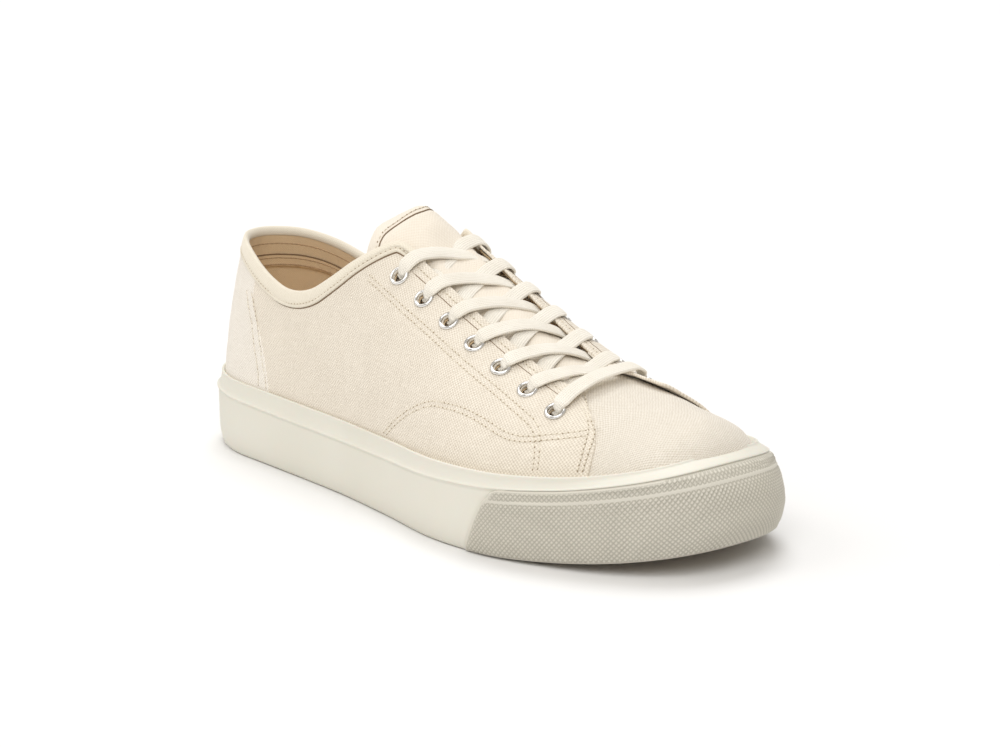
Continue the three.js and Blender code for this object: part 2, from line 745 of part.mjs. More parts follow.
// The tongue: a padded strip under the facings, rounded at the top.
function tongue() {
  const rings = [];
  for (const along of [0, 0.02, 0.06, 0.12, 0.18, 0.28, 0.4, 0.52, 0.64, 0.76, 0.88, 1]) {
    const x = mix(TONGUE_BACK, TONGUE_FRONT, along);
    const round = clamp((x - TONGUE_BACK + 1.5) / TONGUE_ROUND);
    const half = (TONGUE_HALF - TONGUE_TAPER * along) * Math.sqrt(1 - (1 - round) ** 2);
    const bend = TONGUE_BEND * clamp((TONGUE_BACK + TONGUE_ROUND - x) / TONGUE_ROUND) ** 2;
    const top = [];
    const under = [];
    for (const across of [-1, -0.8, -0.55, -0.28, 0, 0.28, 0.55, 0.8, 1]) {
      const y = throatMiddle(x) + half * across;
      const bulge = Math.cos((Math.PI / 2) * clamp((across * half) / THROAT_HALF_FRONT, -1, 1)) ** 2;
      const fade = clamp((THROAT_FRONT - 8 - x) / 20);
      const off = TONGUE_LIFT * bulge * fade - WALL - 2 * GAP - bend;
      const thin = TONGUE_THICK * (Math.abs(across) === 1 ? 0.35 : 1);
      top.push(lastAt(x, y, off));
      under.unshift(lastAt(x, y, off - thin));
    }
    rings.push([...top, ...under]);
  }
  return loft(rings);
}

const paint = (color, roughness, metalness = 0) => () =>
  new THREE.MeshStandardMaterial({ color, roughness, metalness });
const canvas = paint(0xeae0ce, 0.95);
const rubber = paint(0xdedacd, 0.6);
const sheet = paint(0xc9ae85, 0.95);
const cotton = paint(0xebe5d6, 0.9);
const nickel = paint(0xc8c8c6, 0.3, 1);

const group = new THREE.Group();
group.name = "canvas_sneaker";

function place(name, solid, material) {
  const mesh = solid.getMesh();
  const geometry = new THREE.BufferGeometry();
  const points = new Float32Array(mesh.numVert * 3);
  for (let i = 0; i < mesh.numVert; i += 1) {
    for (let k = 0; k < 3; k += 1) points[i * 3 + k] = mesh.vertProperties[i * mesh.numProp + k];
  }
  geometry.setAttribute("position", new THREE.BufferAttribute(points, 3));
  geometry.setIndex(new THREE.BufferAttribute(mesh.triVerts, 1));
  geometry.computeVertexNormals();
  const made = new THREE.Mesh(geometry, material());
  made.name = name;
  group.add(made);
}

place("outsole", outsole(), rubber);
place("foxing", foxing(), rubber);
place("toe_bumper", bumperSolid(), rubber);
place("upper", upper(), canvas);
place("tongue", tongue(), canvas);
place("insole", insole(), sheet);
for (const { side, number, place: matrix } of eyeletPlaces()) {
  place(`eyelet_${side === OUTER ? "outer" : "inner"}_${number}`, eyelet(matrix), nickel);
}
for (let i = 0; i < EYELETS - 1; i += 1) place(`lace_cross_${i + 1}`, laceCross(i), cotton);
place("lace_bar", laceBar(), cotton);

// The shoe stands centred over the origin.
const box = new THREE.Box3().setFromObject(group);
const centre = box.getCenter(new THREE.Vector3());
group.position.set(-centre.x, -centre.y, -box.min.z);

export default group;
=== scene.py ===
import math

import bpy
import numpy as np
from mathutils import Matrix, Vector


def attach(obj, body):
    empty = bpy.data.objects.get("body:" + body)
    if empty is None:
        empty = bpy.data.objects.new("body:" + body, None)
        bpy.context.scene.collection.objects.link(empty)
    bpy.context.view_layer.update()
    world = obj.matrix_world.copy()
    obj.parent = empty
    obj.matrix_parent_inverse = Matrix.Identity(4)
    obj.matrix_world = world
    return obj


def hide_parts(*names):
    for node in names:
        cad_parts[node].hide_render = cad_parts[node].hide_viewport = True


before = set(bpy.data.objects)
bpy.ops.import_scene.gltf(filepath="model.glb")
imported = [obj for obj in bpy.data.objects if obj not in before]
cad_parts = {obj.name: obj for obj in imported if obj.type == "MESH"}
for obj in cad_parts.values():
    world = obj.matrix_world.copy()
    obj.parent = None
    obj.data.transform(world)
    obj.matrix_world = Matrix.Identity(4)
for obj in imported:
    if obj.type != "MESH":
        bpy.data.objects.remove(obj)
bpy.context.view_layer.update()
RNG = np.random.default_rng(7)

# Sizes in mm, as in the solid model: x from the heel, y to the inner side, z up
LENGTH, BALL_WIDTH, INSTEP_HEIGHT, HEEL_HEIGHT = 292.0, 107.0, 121.0, 87.5
TOE_SPRING, HEEL_CURVE, TOE_CURVE, TOE_POWER = 9.0, 46.7, 83.2, 2.3
WALL_HEIGHT, SOLE_HEIGHT, FOOT_HEIGHT = 22.0, 30.5, 15.0
BOTTOM_TUCK, TOE_BOTTOM_TUCK, TOE_WALL_LEAN, TOE_BAND_LEAN, BAND_TUCK = 1.5, 2.3, 7.5, 11.0, 1.9
BEAD_PROUD, FOXING_RIM, ARCH_RISE = 0.4, 4.5, 1.2
BUMPER_PROUD, BUMPER_DEPTH, BUMPER_START, BUMPER_SLANT = 1.0, 1.9, 206.0, 18.0
WALL, CANVAS, COUNTER, BINDING, BINDING_WIDTH = 1.6, 0.8, 0.5, 0.5, 7.0
BASE_TUCK, TOE_TUCK, RIDGE_BACK, RIDGE_FRONT = 3.3, 8.0, 24.0, 26.0
THROAT_FRONT, EYELET_BACK, EYELET_FRONT, EYELETS, EYELET_HALF = 228.0, 133.0, 226.0, 7, 22.4
LACE_WIDTH, LACE_THICK = 6.5, 1.3
TONGUE_BACK, TONGUE_FRONT, TONGUE_HALF, TONGUE_TAPER = 102.3, 238.0, 28.0, 6.0
TONGUE_ROUND, TONGUE_LIFT, TONGUE_BEND, TONGUE_SQUARE = 22.0, 1.8, 6.0, 4.0
COUNTER_STEP = 0.25
CLOTH_THICK, VAMP_THICK, VAMP_OVERLAP = 1.25, 0.8, 7.0
HOLE_RADIUS, LACE_REACH = 3.1, 0.9
STITCH_PITCH, STITCH_WIDTH, STITCH_LIFT, STITCH_TURN = 2.15, 0.52, 0.06, 0.05
FOOT_LIFT = 0.15  # how far the rubber wall ends above the tread
BEAD_RISE_HEEL, BEAD_RISE_TOE = 0.8, 0.9
TOE_FULLNESS = 3.3
RUBBER_OVERLAP = 3.0  # how far the cloth reaches down behind the rubber
VAMP_UNDER_LACE = 6.0  # how far the vamp reaches back under the lowest lace
GRIP_PITCH, GRIP_LINE = 1.95, 4.4  # lattice, and the raised line's distance below the bead
GROOVE_WIDTH, GROOVE_DEPTH, GROOVE_PITCH, GROOVE_EDGE = 2.4, 1.8, 11.0, 9.0
RIDGE_LENGTH = LENGTH - RIDGE_BACK - RIDGE_FRONT
OUTER, INNER = -1, 1
TO_ROW = np.array([-146.3, 2.82, 0.0])  # from the heel's back to the centre of the part

PLAN = np.array([
    (0.0, 0.0, 0.35), (0.13, 0.0, 0.35), (0.25, -0.011, 0.362), (0.4, -0.034, 0.377),
    (0.52, -0.047, 0.417), (0.64, -0.048, 0.478), (0.74, -0.024, 0.494), (0.84, 0.006, 0.48),
    (0.92, 0.02, 0.48), (1.0, 0.02, 0.48)])  # share of length, middle, half width
SOLE_LINE = np.array([(0.0, 0.114, 0.049), (0.5, 0.0, 0.0), (1.0, 0.273, 0.066)])  # share, bead, top
LAST = np.array([
    (0.0, 0.975, 0.0, 1.7, 1.7), (0.15, 1.0, 0.0, 1.73, 1.73), (0.3, 0.992, 0.014, 1.88, 1.98),
    (0.38, 0.926, 0.023, 2.05, 2.2), (0.48, 0.802, 0.028, 2.05, 2.2), (0.6, 0.669, 0.028, 1.95, 2.05),
    (0.7, 0.574, 0.028, 1.9, 1.85), (0.78, 0.512, 0.028, 1.95, 1.7), (0.88, 0.463, 0.037, 2.0, 1.7),
    (1.0, 0.421, 0.047, 1.95, 1.95)])  # share, height, shift, squareness outer and inner
TOP_EYELET = 88.03
COLLAR = np.array([
    (-0.088, 1.005, 0.0), (0.059, 1.0, 0.0), (0.143, 0.99, 0.0), (0.202, 0.973, 0.0), (0.263, 0.947, 0.0),
    (0.338, 0.905, 0.0), (0.413, 0.865, 0.0), (0.487, 0.838, 0.0), (0.549, 0.834, 0.0), (0.604, 0.845, 0.0),
    (0.659, 0.87, 0.0), (0.707, 0.683, 0.226), (0.757, 0.478, 0.476), (0.812, 0.253, 0.757),
    (0.878, 0.0, 1.071), (0.922, 0.0, 1.108), (0.947, 0.0, 1.121),
    (0.992, 0.0, 1.115)])  # share of the way to the top eyelet, parts of the heel's and the eyelet's height
COLLAR_END, THROAT_START = 131, 137
THROAT_MIDDLE, THROAT_HALF = (-0.8, -6.0), (14.8, 12.2)  # at the top eyelet and at the lowest
QUARTER_FRONT = np.array([
    (0.74, 0.06), (0.772, 0.105), (0.798, 0.125), (0.83, 0.17), (0.848, 0.212), (0.857, 0.26),
    (0.863, 0.32), (0.868, 0.7)])
COUNTER_EDGE = np.array([
    (0.142, 1.1), (0.147, 0.75), (0.175, 0.62), (0.197, 0.494), (0.212, 0.366), (0.217, 0.2)])


# The last
def through(rows, column, at):
    """Smooth curve through a column of a table."""
    x, y = rows[:, 0], rows[:, column]
    at = np.asarray(at, float)
    k = np.searchsorted(x[1:-1], at, side="left")
    n = len(x) - 1
    low, high = np.maximum(np.arange(n + 1) - 1, 0), np.minimum(np.arange(n + 1) + 1, n)
    slope = (y[high] - y[low]) / (x[high] - x[low])
    span = x[k + 1] - x[k]
    u = np.clip((at - x[k]) / span, 0, 1)
    return (y[k] + u * u * (3 - 2 * u) * (y[k + 1] - y[k])
            + u * (1 - u) ** 2 * span * slope[k] + u * u * (u - 1) * span * slope[k + 1])


def clamp(v, low=0.0, high=1.0):
    return np.clip(v, low, high)


def smooth(v):
    v = clamp(v)
    return v * v * (3 - 2 * v)


def share_at(t):
    return (1 - np.cos(np.pi * t)) / 2


def turn_at(share):
    return np.arccos(1 - 2 * clamp(share)) / np.pi


def outline(t, side):
    share = share_at(t)
    heel = clamp(1 - share * LENGTH / HEEL_CURVE)
    toe = clamp(((share - 1) * LENGTH + TOE_CURVE) / TOE_CURVE)
    ends = np.sqrt(1 - heel * heel) * np.maximum(1 - toe ** TOE_POWER, 0) ** (1 / TOE_POWER)
    half = through(PLAN, 2, share) * ends
    return share * LENGTH, BALL_WIDTH * (through(PLAN, 1, share) + side * half)


def plan(t, side, inset):
    """Point of the outline at t (0 heel, 1 toe), moved in by inset."""
    step = 1e-4
    t, side, inset = np.broadcast_arrays(np.asarray(t, float), np.asarray(side, float), inset)
    x0, y0 = outline(clamp(t - step), side)
    x1, y1 = outline(clamp(t + step), side)
    end = (t < step) | (t > 1 - step)
    dx = np.where(end, 0.0, x1 - x0)
    dy = np.where(end, np.where(t < step, side, -side), y1 - y0)
    size = np.hypot(dx, dy)
    x, y = outline(t, side)
    return x + side * inset * dy / size, y - side * inset * dx / size


def spring(x):
    return TOE_SPRING * clamp((np.asarray(x) / LENGTH - 0.7) / 0.3) ** 2


def bead_height(x):
    rise = BEAD_RISE_HEEL + BEAD_RISE_TOE * smooth((np.asarray(x) - 60) / 120)
    return WALL_HEIGHT * (1 + through(SOLE_LINE, 1, np.asarray(x) / LENGTH)) + spring(x) + rise


def sole_height(x):
    return SOLE_HEIGHT * (1 + through(SOLE_LINE, 2, np.asarray(x) / LENGTH)) + spring(x)


def toe_share(x):
    return clamp((np.asarray(x) / LENGTH - 0.84) / 0.16) ** 1.3


def last_point(t, side, angle, off=0.0):
    """Point of the last at t along one side and angle from its base to its top line."""
    t, side, angle, off = np.broadcast_arrays(
        np.asarray(t, float), np.asarray(side, float), np.asarray(angle, float), np.asarray(off, float))
    share = share_at(t)
    wide = plan(t, side, 0.0)[0]
    bx, by = plan(t, side, BASE_TUCK - off + TOE_TUCK * toe_share(wide))
    tx = RIDGE_BACK + RIDGE_LENGTH * share
    ty = BALL_WIDTH * through(LAST, 2, share)
    tz = INSTEP_HEIGHT * through(LAST, 1, share) + off
    square = np.where(side < 0, through(LAST, 3, share), through(LAST, 4, share))
    base = FOOT_HEIGHT + spring(bx)
    inward = clamp(np.cos(angle)) ** (2 / square)
    upward = clamp(np.sin(angle)) ** (2 / square)
    return np.stack([tx + (bx - tx) * inward, ty + (by - ty) * inward, base + (tz - base) * upward], -1)


# Angles that split each section into equal lengths.
TURNS, UPS = 240, 60


def angle_table(side):
    t = np.linspace(0, 1, TURNS + 1)[:, None]
    fine = np.linspace(0, 1, 241)
    angle = (np.pi / 2) * (fine - np.sin(2 * np.pi * fine) / (2 * np.pi) * 0.5)[None, :]
    p = last_point(t, side, angle)
    run = np.concatenate([np.zeros((TURNS + 1, 1)),
                          np.cumsum(np.linalg.norm(np.diff(p, axis=1), axis=2), axis=1)], 1)
    even = np.linspace(0, 1, UPS + 1)
    table = np.array([np.interp(even * run[i, -1], run[i], angle[0]) for i in range(TURNS + 1)])
    return table, run[:, -1]


ANGLES = {s: angle_table(s) for s in (OUTER, INNER)}


def lookup(table, i, j):
    """Value of a table at fractional row i and column j."""
    i, j = np.broadcast_arrays(i, j)
    a = np.clip(i.astype(int), 0, table.shape[0] - 2)
    b = np.clip(j.astype(int), 0, table.shape[1] - 2)
    u, v = i - a, j - b
    return ((1 - u) * (1 - v) * table[a, b] + u * (1 - v) * table[a + 1, b]
            + (1 - u) * v * table[a, b + 1] + u * v * table[a + 1, b + 1])


def angle_of(t, s):
    """Angle at t and s: s is 0 on the top line, -1 on the outer base and 1 on the inner base."""
    i, j = np.asarray(t, float) * TURNS, (1 - np.abs(s)) * UPS
    return np.where(s < 0, lookup(ANGLES[OUTER][0], i, j), lookup(ANGLES[INNER][0], i, j))


def skin(t, s, off=0.0):
    return last_point(t, np.where(np.asarray(s) < 0, OUTER, INNER), angle_of(t, s), off)


def s_of(t, side, angle):
    """The other way round: s from an angle."""
    t, side, angle = np.broadcast_arrays(np.asarray(t, float), side, angle)
    out = np.zeros(t.shape)
    for sd in (OUTER, INNER):
        table = ANGLES[sd][0]
        for k in np.argwhere(side == sd):
            k = tuple(k)
            i = t[k] * TURNS
            a = min(int(i), TURNS - 1)
            row = table[a] + (i - a) * (table[a + 1] - table[a])
            out[k] = sd * (1 - np.interp(angle[k], row, np.linspace(0, 1, UPS + 1)))
    return out


def find_above(x, y, off=0.0):
    """t, side and angle of the last over x and y."""
    x, y = np.broadcast_arrays(np.asarray(x, float), np.asarray(y, float))
    share = clamp((x - RIDGE_BACK) / RIDGE_LENGTH)
    for _ in range(25):
        t = turn_at(share)
        ridge = BALL_WIDTH * through(LAST, 2, share)
        side = np.where(y < ridge, OUTER, INNER)
        base = last_point(t, side, 0.0, off)[..., 1]
        square = np.where(side < 0, through(LAST, 3, share), through(LAST, 4, share))
        inward = clamp((y - ridge) / (base - ridge))
        angle = np.arccos(inward ** (square / 2))
        p = last_point(t, side, angle, off)
        share = clamp(share + (x - p[..., 0]) / LENGTH)
    return t, side, angle


def find_beside(x, z, side, off=0.0):
    """t and angle of the last seen from one side at x and z."""
    x, z = np.broadcast_arrays(np.asarray(x, float), np.asarray(z, float))
    share = clamp((x - RIDGE_BACK) / RIDGE_LENGTH)
    for _ in range(40):
        t = turn_at(share)
        base = last_point(t, side, 0.0, off)
        top = INSTEP_HEIGHT * through(LAST, 1, share) + off
        square = through(LAST, 3 if side < 0 else 4, share)
        up = clamp((z - base[..., 2]) / (top - base[..., 2]), 0, 0.9999)
        angle = np.arcsin(up ** (square / 2))
        p = last_point(t, side, angle, off)
        share = clamp(share + 0.8 * (x - p[..., 0]) / LENGTH)
    return t, angle


def above_ts(x, y):
    t, side, angle = find_above(x, y)
    return t, s_of(t, side, angle)


def beside_ts(x, z, side):
    t, angle = find_beside(x, z, side)
    return t, s_of(t, np.full(np.shape(t), side), angle)


def along_throat(x, top, low):
    return top + (low - top) * (np.asarray(x) - EYELET_BACK) / (EYELET_FRONT - EYELET_BACK)


def throat_middle(x):
    return along_throat(x, *THROAT_MIDDLE)


def throat_half(x):
    return along_throat(x, *THROAT_HALF)


def collar_line(x):
    at = np.asarray(x) / EYELET_BACK
    return through(COLLAR, 1, at) * HEEL_HEIGHT + through(COLLAR, 2, at) * TOP_EYELET


# Fields: negative inside
def in_collar(p):
    x, z = p[..., 0], p[..., 2]
    slope = collar_line(x + 0.5) - collar_line(x - 0.5)
    f = (z - collar_line(np.minimum(x, COLLAR_END))) / np.hypot(1, slope)
    return np.where(x < THROAT_START, f, np.minimum(f, -(x - THROAT_START) * 0.6 + f.clip(-5, 5)))


def in_throat(p):
    x, y = p[..., 0], p[..., 1]
    half = throat_half(x)
    d = np.abs(y - throat_middle(x))
    round_front = clamp((x - (THROAT_FRONT - 14)) / 14, 0, 3)
    f = half - np.hypot(round_front * half, d)
    return np.where(x > 60, f, -20.0)


def soft_max(a, b, k):
    h = clamp(0.5 + 0.5 * (a - b) / k)
    return b + (a - b) * h + k * h * (1 - h)


def open_field(p):
    """Above zero in the collar opening and in the throat."""
    return soft_max(in_collar(p), in_throat(p), 3.5)


FRONT_OUT = np.linspace(0.06, 0.7, 200)
FRONT_SHARE = np.interp(FRONT_OUT, QUARTER_FRONT[:, 1], QUARTER_FRONT[:, 0])
for _ in range(12):
    FRONT_SHARE[1:-1] = (FRONT_SHARE[:-2] + 2 * FRONT_SHARE[1:-1] + FRONT_SHARE[2:]) / 4


def front_x(p):
    """x of the quarter's front edge beside a point."""
    out = np.abs(p[..., 1] - throat_middle(p[..., 0])) / BALL_WIDTH
    return np.interp(out, FRONT_OUT, FRONT_SHARE) * LENGTH


def ahead_of_quarter(p):
    slope = front_x(p + np.array([0, 0.5, 0])) - front_x(p - np.array([0, 0.5, 0]))
    return (p[..., 0] - front_x(p)) / np.hypot(1, slope)


def ahead_of_counter(p):
    z = p[..., 2] / HEEL_HEIGHT
    x = np.interp(-z, -COUNTER_EDGE[:, 1], COUNTER_EDGE[:, 0]) * LENGTH
    return p[..., 0] - x


def below_rubber(p):
    """Above zero deeper behind the rubber than the cloth reaches."""
    return sole_height(p[..., 0]) - RUBBER_OVERLAP - p[..., 2]


# Seams, as (x, z) from the side
ARCH_SEAM = [
    (148.8, 30.6), (152.8, 34.5), (157.5, 38.5), (163.1, 42.2), (168.4, 45.1), (173.5, 47.1), (179, 48),
    (190.5, 47.8), (200.9, 45.9), (213.5, 42.7), (221, 42.1), (228.4, 43.2), (239.1, 45.3), (245.5, 46.8)]
EYESTAY_SEAM = [
    (118.8, 84.9), (128, 81.4), (141.7, 76), (152.6, 72.1), (180, 62.2), (206.2, 52.7), (217.5, 48.7),
    (222.3, 46.7), (225.6, 44.4), (228.3, 41.2), (230.6, 37), (232.2, 32)]
FRONT_SEAM_NEAR = [
    (229.6, 55.2), (234.1, 52.9), (238, 50.7), (241.1, 48.9), (243.7, 47.3), (245.2, 45.9), (246.1, 44.4),
    (247, 42.3), (247.9, 39.1), (249, 34)]
FRONT_SEAM_FAR = [
    (227.6, 55), (233, 52.6), (236.3, 51), (239.7, 49), (242, 47.2), (243.2, 45.6), (244.3, 43.6),
    (245.4, 41), (246.3, 38.2), (247.5, 33)]
HEEL_SEAM_NEAR = [
    (41.7, 68), (44.6, 63.5), (47.2, 60), (49.5, 56.5), (51.8, 51.8), (54.7, 45.4), (56.6, 40.6),
    (58.9, 36.4), (61, 30)]
HEEL_SEAM_FAR = [
    (37, 68), (40.5, 62.5), (43.8, 58.1), (46.3, 53.8), (48.8, 47.7), (51.8, 41.7), (53.6, 36.5), (54.6, 30)]
SEAM_GAP = 0.85  # half the distance between the two rows of a seam


def unit(vectors):
    return vectors / np.linalg.norm(vectors, axis=1)[:, None]


def run_along(points):
    """Length along a path at each of its points."""
    return np.concatenate([[0], np.cumsum(np.linalg.norm(np.diff(points, axis=0), axis=1))])


def smooth_path(points, count):
    """Points at equal steps along a smooth curve through the given ones."""
    p = np.asarray(points, float)
    ext = np.vstack([2 * p[0] - p[1], p, 2 * p[-1] - p[-2]])
    out = []
    for i in range(1, len(ext) - 2):
        a, b, c, d = ext[i - 1:i + 3]
        u = np.linspace(0, 1, 24, endpoint=False)[:, None]
        out.append(0.5 * (2 * b + (c - a) * u + (2 * a - 5 * b + 4 * c - d) * u ** 2
                          + (3 * b - a - 3 * c + d) * u ** 3))
    out = np.vstack(out + [p[-1:]])
    run = run_along(out)
    at = np.linspace(0, run[-1], count)
    return np.stack([np.interp(at, run, out[:, k]) for k in range(out.shape[1])], -1)


def resample(t, s, off, pitch):
    """A path over the skin at equal steps, as t and s."""
    run = run_along(skin(t, s, off))
    n = max(int(round(run[-1] / pitch)), 2)
    at = np.linspace(0, run[-1], n + 1)
    return np.interp(at, run, t), np.interp(at, run, s)


def shifted(path, shift):
    """A flat path moved sideways."""
    d = unit(np.gradient(path, axis=0))
    return path + shift * np.stack([-d[:, 1], d[:, 0]], -1)


def beside_seam(points, side, shift=0.0):
    path = shifted(smooth_path(points, 160), shift)
    return beside_ts(path[:, 0], path[:, 1], side)


def throat_seam(side, back):
    x = np.linspace(136, 226, 80)
    y = throat_middle(x) + side * (throat_half(x) + back)
    return above_ts(x, y)


SEAMS = []  # (name, layer offset, t, s)
for side in (OUTER, INNER):
    for shift in (-SEAM_GAP, SEAM_GAP):
        SEAMS.append(("arch", CANVAS, *beside_seam(ARCH_SEAM, side, shift)))
        SEAMS.append(("eyestay", CANVAS, *beside_seam(EYESTAY_SEAM, side, shift)))
    for path in (FRONT_SEAM_NEAR, FRONT_SEAM_FAR):
        SEAMS.append(("front", CANVAS, *beside_seam(path, side)))
    SEAMS.append(("throat", CANVAS, *throat_seam(side, 2.3)))
    for path in (HEEL_SEAM_NEAR, HEEL_SEAM_FAR):
        SEAMS.append(("heel", CANVAS + COUNTER_STEP, *beside_seam(path, side)))

SEAM_STEP = 0.8
SEAM_ROWS = [skin(*resample(t, s, 0, SEAM_STEP)) for _, _, t, s in SEAMS]
SEAM_POINTS = np.vstack(SEAM_ROWS)
SEAM_RUN = np.concatenate([np.arange(len(row)) * SEAM_STEP for row in SEAM_ROWS])

# Creases of the cloth: from, to (x, y, z), height, width.
CREASES = [
    ((62, -36, 66), (96, -40, 46), -0.9, 7.0), ((70, -37, 58), (118, -42, 40), 0.5, 8.0),
    ((100, -34, 68), (150, -38, 52), -0.5, 9.0), ((30, -27, 62), (40, -32, 40), -0.6, 6.0),
    ((232, -20, 55), (250, 8, 50), -0.45, 9.0), ((240, 20, 50), (262, -6, 44), 0.35, 9.0),
    ((236, 2, 57), (246, -14, 52), 0.35, 6.0), ((185, -42, 44), (215, -41, 38), -0.4, 6.0),
    ((62, 34, 66), (96, 38, 46), -0.8, 7.0), ((80, 36, 58), (128, 38, 40), 0.5, 8.0),
    ((105, 32, 68), (155, 34, 52), -0.5, 9.0), ((14, -12, 50), (12, 10, 56), -0.4, 7.0)]


def waves(p, scale, seed):
    """Smooth unevenness between -1 and 1, the same at each run."""
    rng = np.random.default_rng(seed)
    total = np.zeros(p.shape[:-1])
    for _ in range(7):
        d = rng.normal(size=3)
        d /= np.linalg.norm(d)
        total += np.sin(p @ d * (2 * np.pi / (scale * rng.uniform(0.7, 1.5))) + rng.uniform(0, 6.3))
    return total / 4


def relief(t, s):
    """How far the cloth stands off its plain form, in mm."""
    p = skin(t, s)
    out = 0.22 * waves(p, 34, 3) + 0.10 * waves(p, 13, 5)
    for a, b, height, width in CREASES:
        a, b = np.array(a, float), np.array(b, float)
        u = clamp(((p - a) @ (b - a)) / ((b - a) @ (b - a)))
        d = np.linalg.norm(p - (a + u[..., None] * (b - a)), axis=-1)
        out += height * np.exp(-(d / width) ** 2) * (0.35 + 0.65 * np.sin(np.pi * clamp(u, 0.02, 0.98)))
    flat = p.reshape(-1, 3)
    near = np.empty(len(flat))
    run = np.empty(len(flat))
    for k in range(0, len(flat), 4000):
        d = np.linalg.norm(flat[k:k + 4000, None, :] - SEAM_POINTS[None], axis=2)
        best = d.argmin(1)
        near[k:k + 4000] = d[np.arange(len(d)), best]
        run[k:k + 4000] = SEAM_RUN[best]
    near, run = near.reshape(t.shape), run.reshape(t.shape)
    pucker = np.sin(run * 2 * np.pi / 5.3) + 0.6 * np.sin(run * 2 * np.pi / 3.4 + 1)
    out += -0.2 * np.exp(-(near / 1.1) ** 2) + 0.1 * pucker * np.exp(-(near / 3.2) ** 2)
    fade = clamp((p[..., 2] - sole_height(p[..., 0]) + 1.0) / 6.0)
    full = TOE_FULLNESS * smooth((p[..., 0] - 248) / 24) * smooth((54 - p[..., 2]) / 14)
    return out * fade + full


# Patches of the skin
SNAP = 0.28  # a point this near to a cut, as a share of its edge, moves onto it
SKIN_LENGTH, SKIN_WIDTH, TOE_SPREAD = 335, 105, 1.15


class Patch:
    """Part of the skin: t and s of its points, and its faces."""

    def __init__(self, t, s, faces):
        self.t, self.s, self.faces = t, s, faces

    @classmethod
    def grid(cls, t0, t1, s0, s1, cell):
        span_t, span_s = SKIN_LENGTH * (t1 - t0) * TOE_SPREAD, SKIN_WIDTH * (s1 - s0)
        ts = np.linspace(t0, t1, int(span_t / cell) + 1)
        # An odd count over both sides, so that the middle line and the toe's joint fall on points.
        count = int(span_s / cell) + 1
        ss = np.linspace(s0, s1, count + 1 - count % 2)
        t, s = np.meshgrid(ts, ss, indexing="ij")
        n = len(ss)
        i, j = np.meshgrid(np.arange(len(ts) - 1), np.arange(n - 1), indexing="ij")
        a = (i * n + j).ravel()
        faces = [tuple(f) for f in np.stack([a, a + n, a + n + 1, a + 1], -1).tolist()]
        return cls(t.ravel(), s.ravel(), faces)

    @classmethod
    def wrap(cls, s0, s1, turn, cell):
        """Round the heel: from -turn on the outer side, through the back, to turn on the inner side."""
        outer, inner = cls.grid(0, turn, -s1, -s0, cell), cls.grid(0, turn, s0, s1, cell)
        n = len(outer.t)
        faces = outer.faces + [tuple(k + n for k in f) for f in inner.faces]
        return cls(np.concatenate([outer.t, inner.t]), np.concatenate([outer.s, inner.s]), faces)

    def between(self, a, b, v):
        return self.t[a] + v * (self.t[b] - self.t[a]), self.s[a] + v * (self.s[b] - self.s[a])

    def keep(self, field, off=0.0):
        """Cuts away what lies where the field is above zero, with points on the cut."""
        t, s = list(self.t), list(self.s)
        f = field(skin(self.t, self.s, off))
        edges = set()
        for face in self.faces:
            signs = f[list(face)]
            if signs.min() < 0 < signs.max():
                for a, b in zip(face, face[1:] + face[:1]):
                    if f[a] < 0 < f[b]:
                        edges.add((a, b))
                    elif f[b] < 0 < f[a]:
                        edges.add((b, a))
        cuts = {}
        if edges:
            pairs = sorted(edges)
            e = np.array(pairs)
            lo, hi = np.zeros(len(e)), np.ones(len(e))
            for _ in range(12):
                mid = (lo + hi) / 2
                inside = field(skin(*self.between(e[:, 0], e[:, 1], mid), off)) < 0
                lo, hi = np.where(inside, mid, lo), np.where(inside, hi, mid)
            u = (lo + hi) / 2
            snapped = {}
            for (a, b), v in sorted(zip(pairs, u.tolist()), key=lambda k: min(k[1], 1 - k[1])):
                end = a if v < 0.5 else b
                if min(v, 1 - v) < SNAP and end not in snapped:
                    snapped[end] = self.between(a, b, v)
            f = f.copy()
            for k, (tk, sk) in snapped.items():
                t[k], s[k], f[k] = tk, sk, 0.0
            for (a, b), v in zip(pairs, u.tolist()):
                if f[a] < 0 < f[b]:
                    cuts[(a, b)] = len(t)
                    tk, sk = self.between(a, b, v)
                    t.append(tk)
                    s.append(sk)
        faces = []
        for face in self.faces:
            signs = f[list(face)]
            if signs.max() <= 0:
                if signs.min() < 0:
                    faces.append(face)
            elif signs.min() < 0:
                ring = []
                for a, b in zip(face, face[1:] + face[:1]):
                    if f[a] <= 0:
                        ring.append(a)
                    if f[a] * f[b] < 0:
                        ring.append(cuts[(a, b) if f[a] < 0 else (b, a)])
                if len(ring) > 2:
                    faces.append(tuple(ring))
        return Patch(np.array(t), np.array(s), faces).packed()

    def packed(self):
        used = sorted({k for face in self.faces for k in face})
        number = {k: i for i, k in enumerate(used)}
        return Patch(self.t[used], self.s[used], [tuple(number[k] for k in f) for f in self.faces])


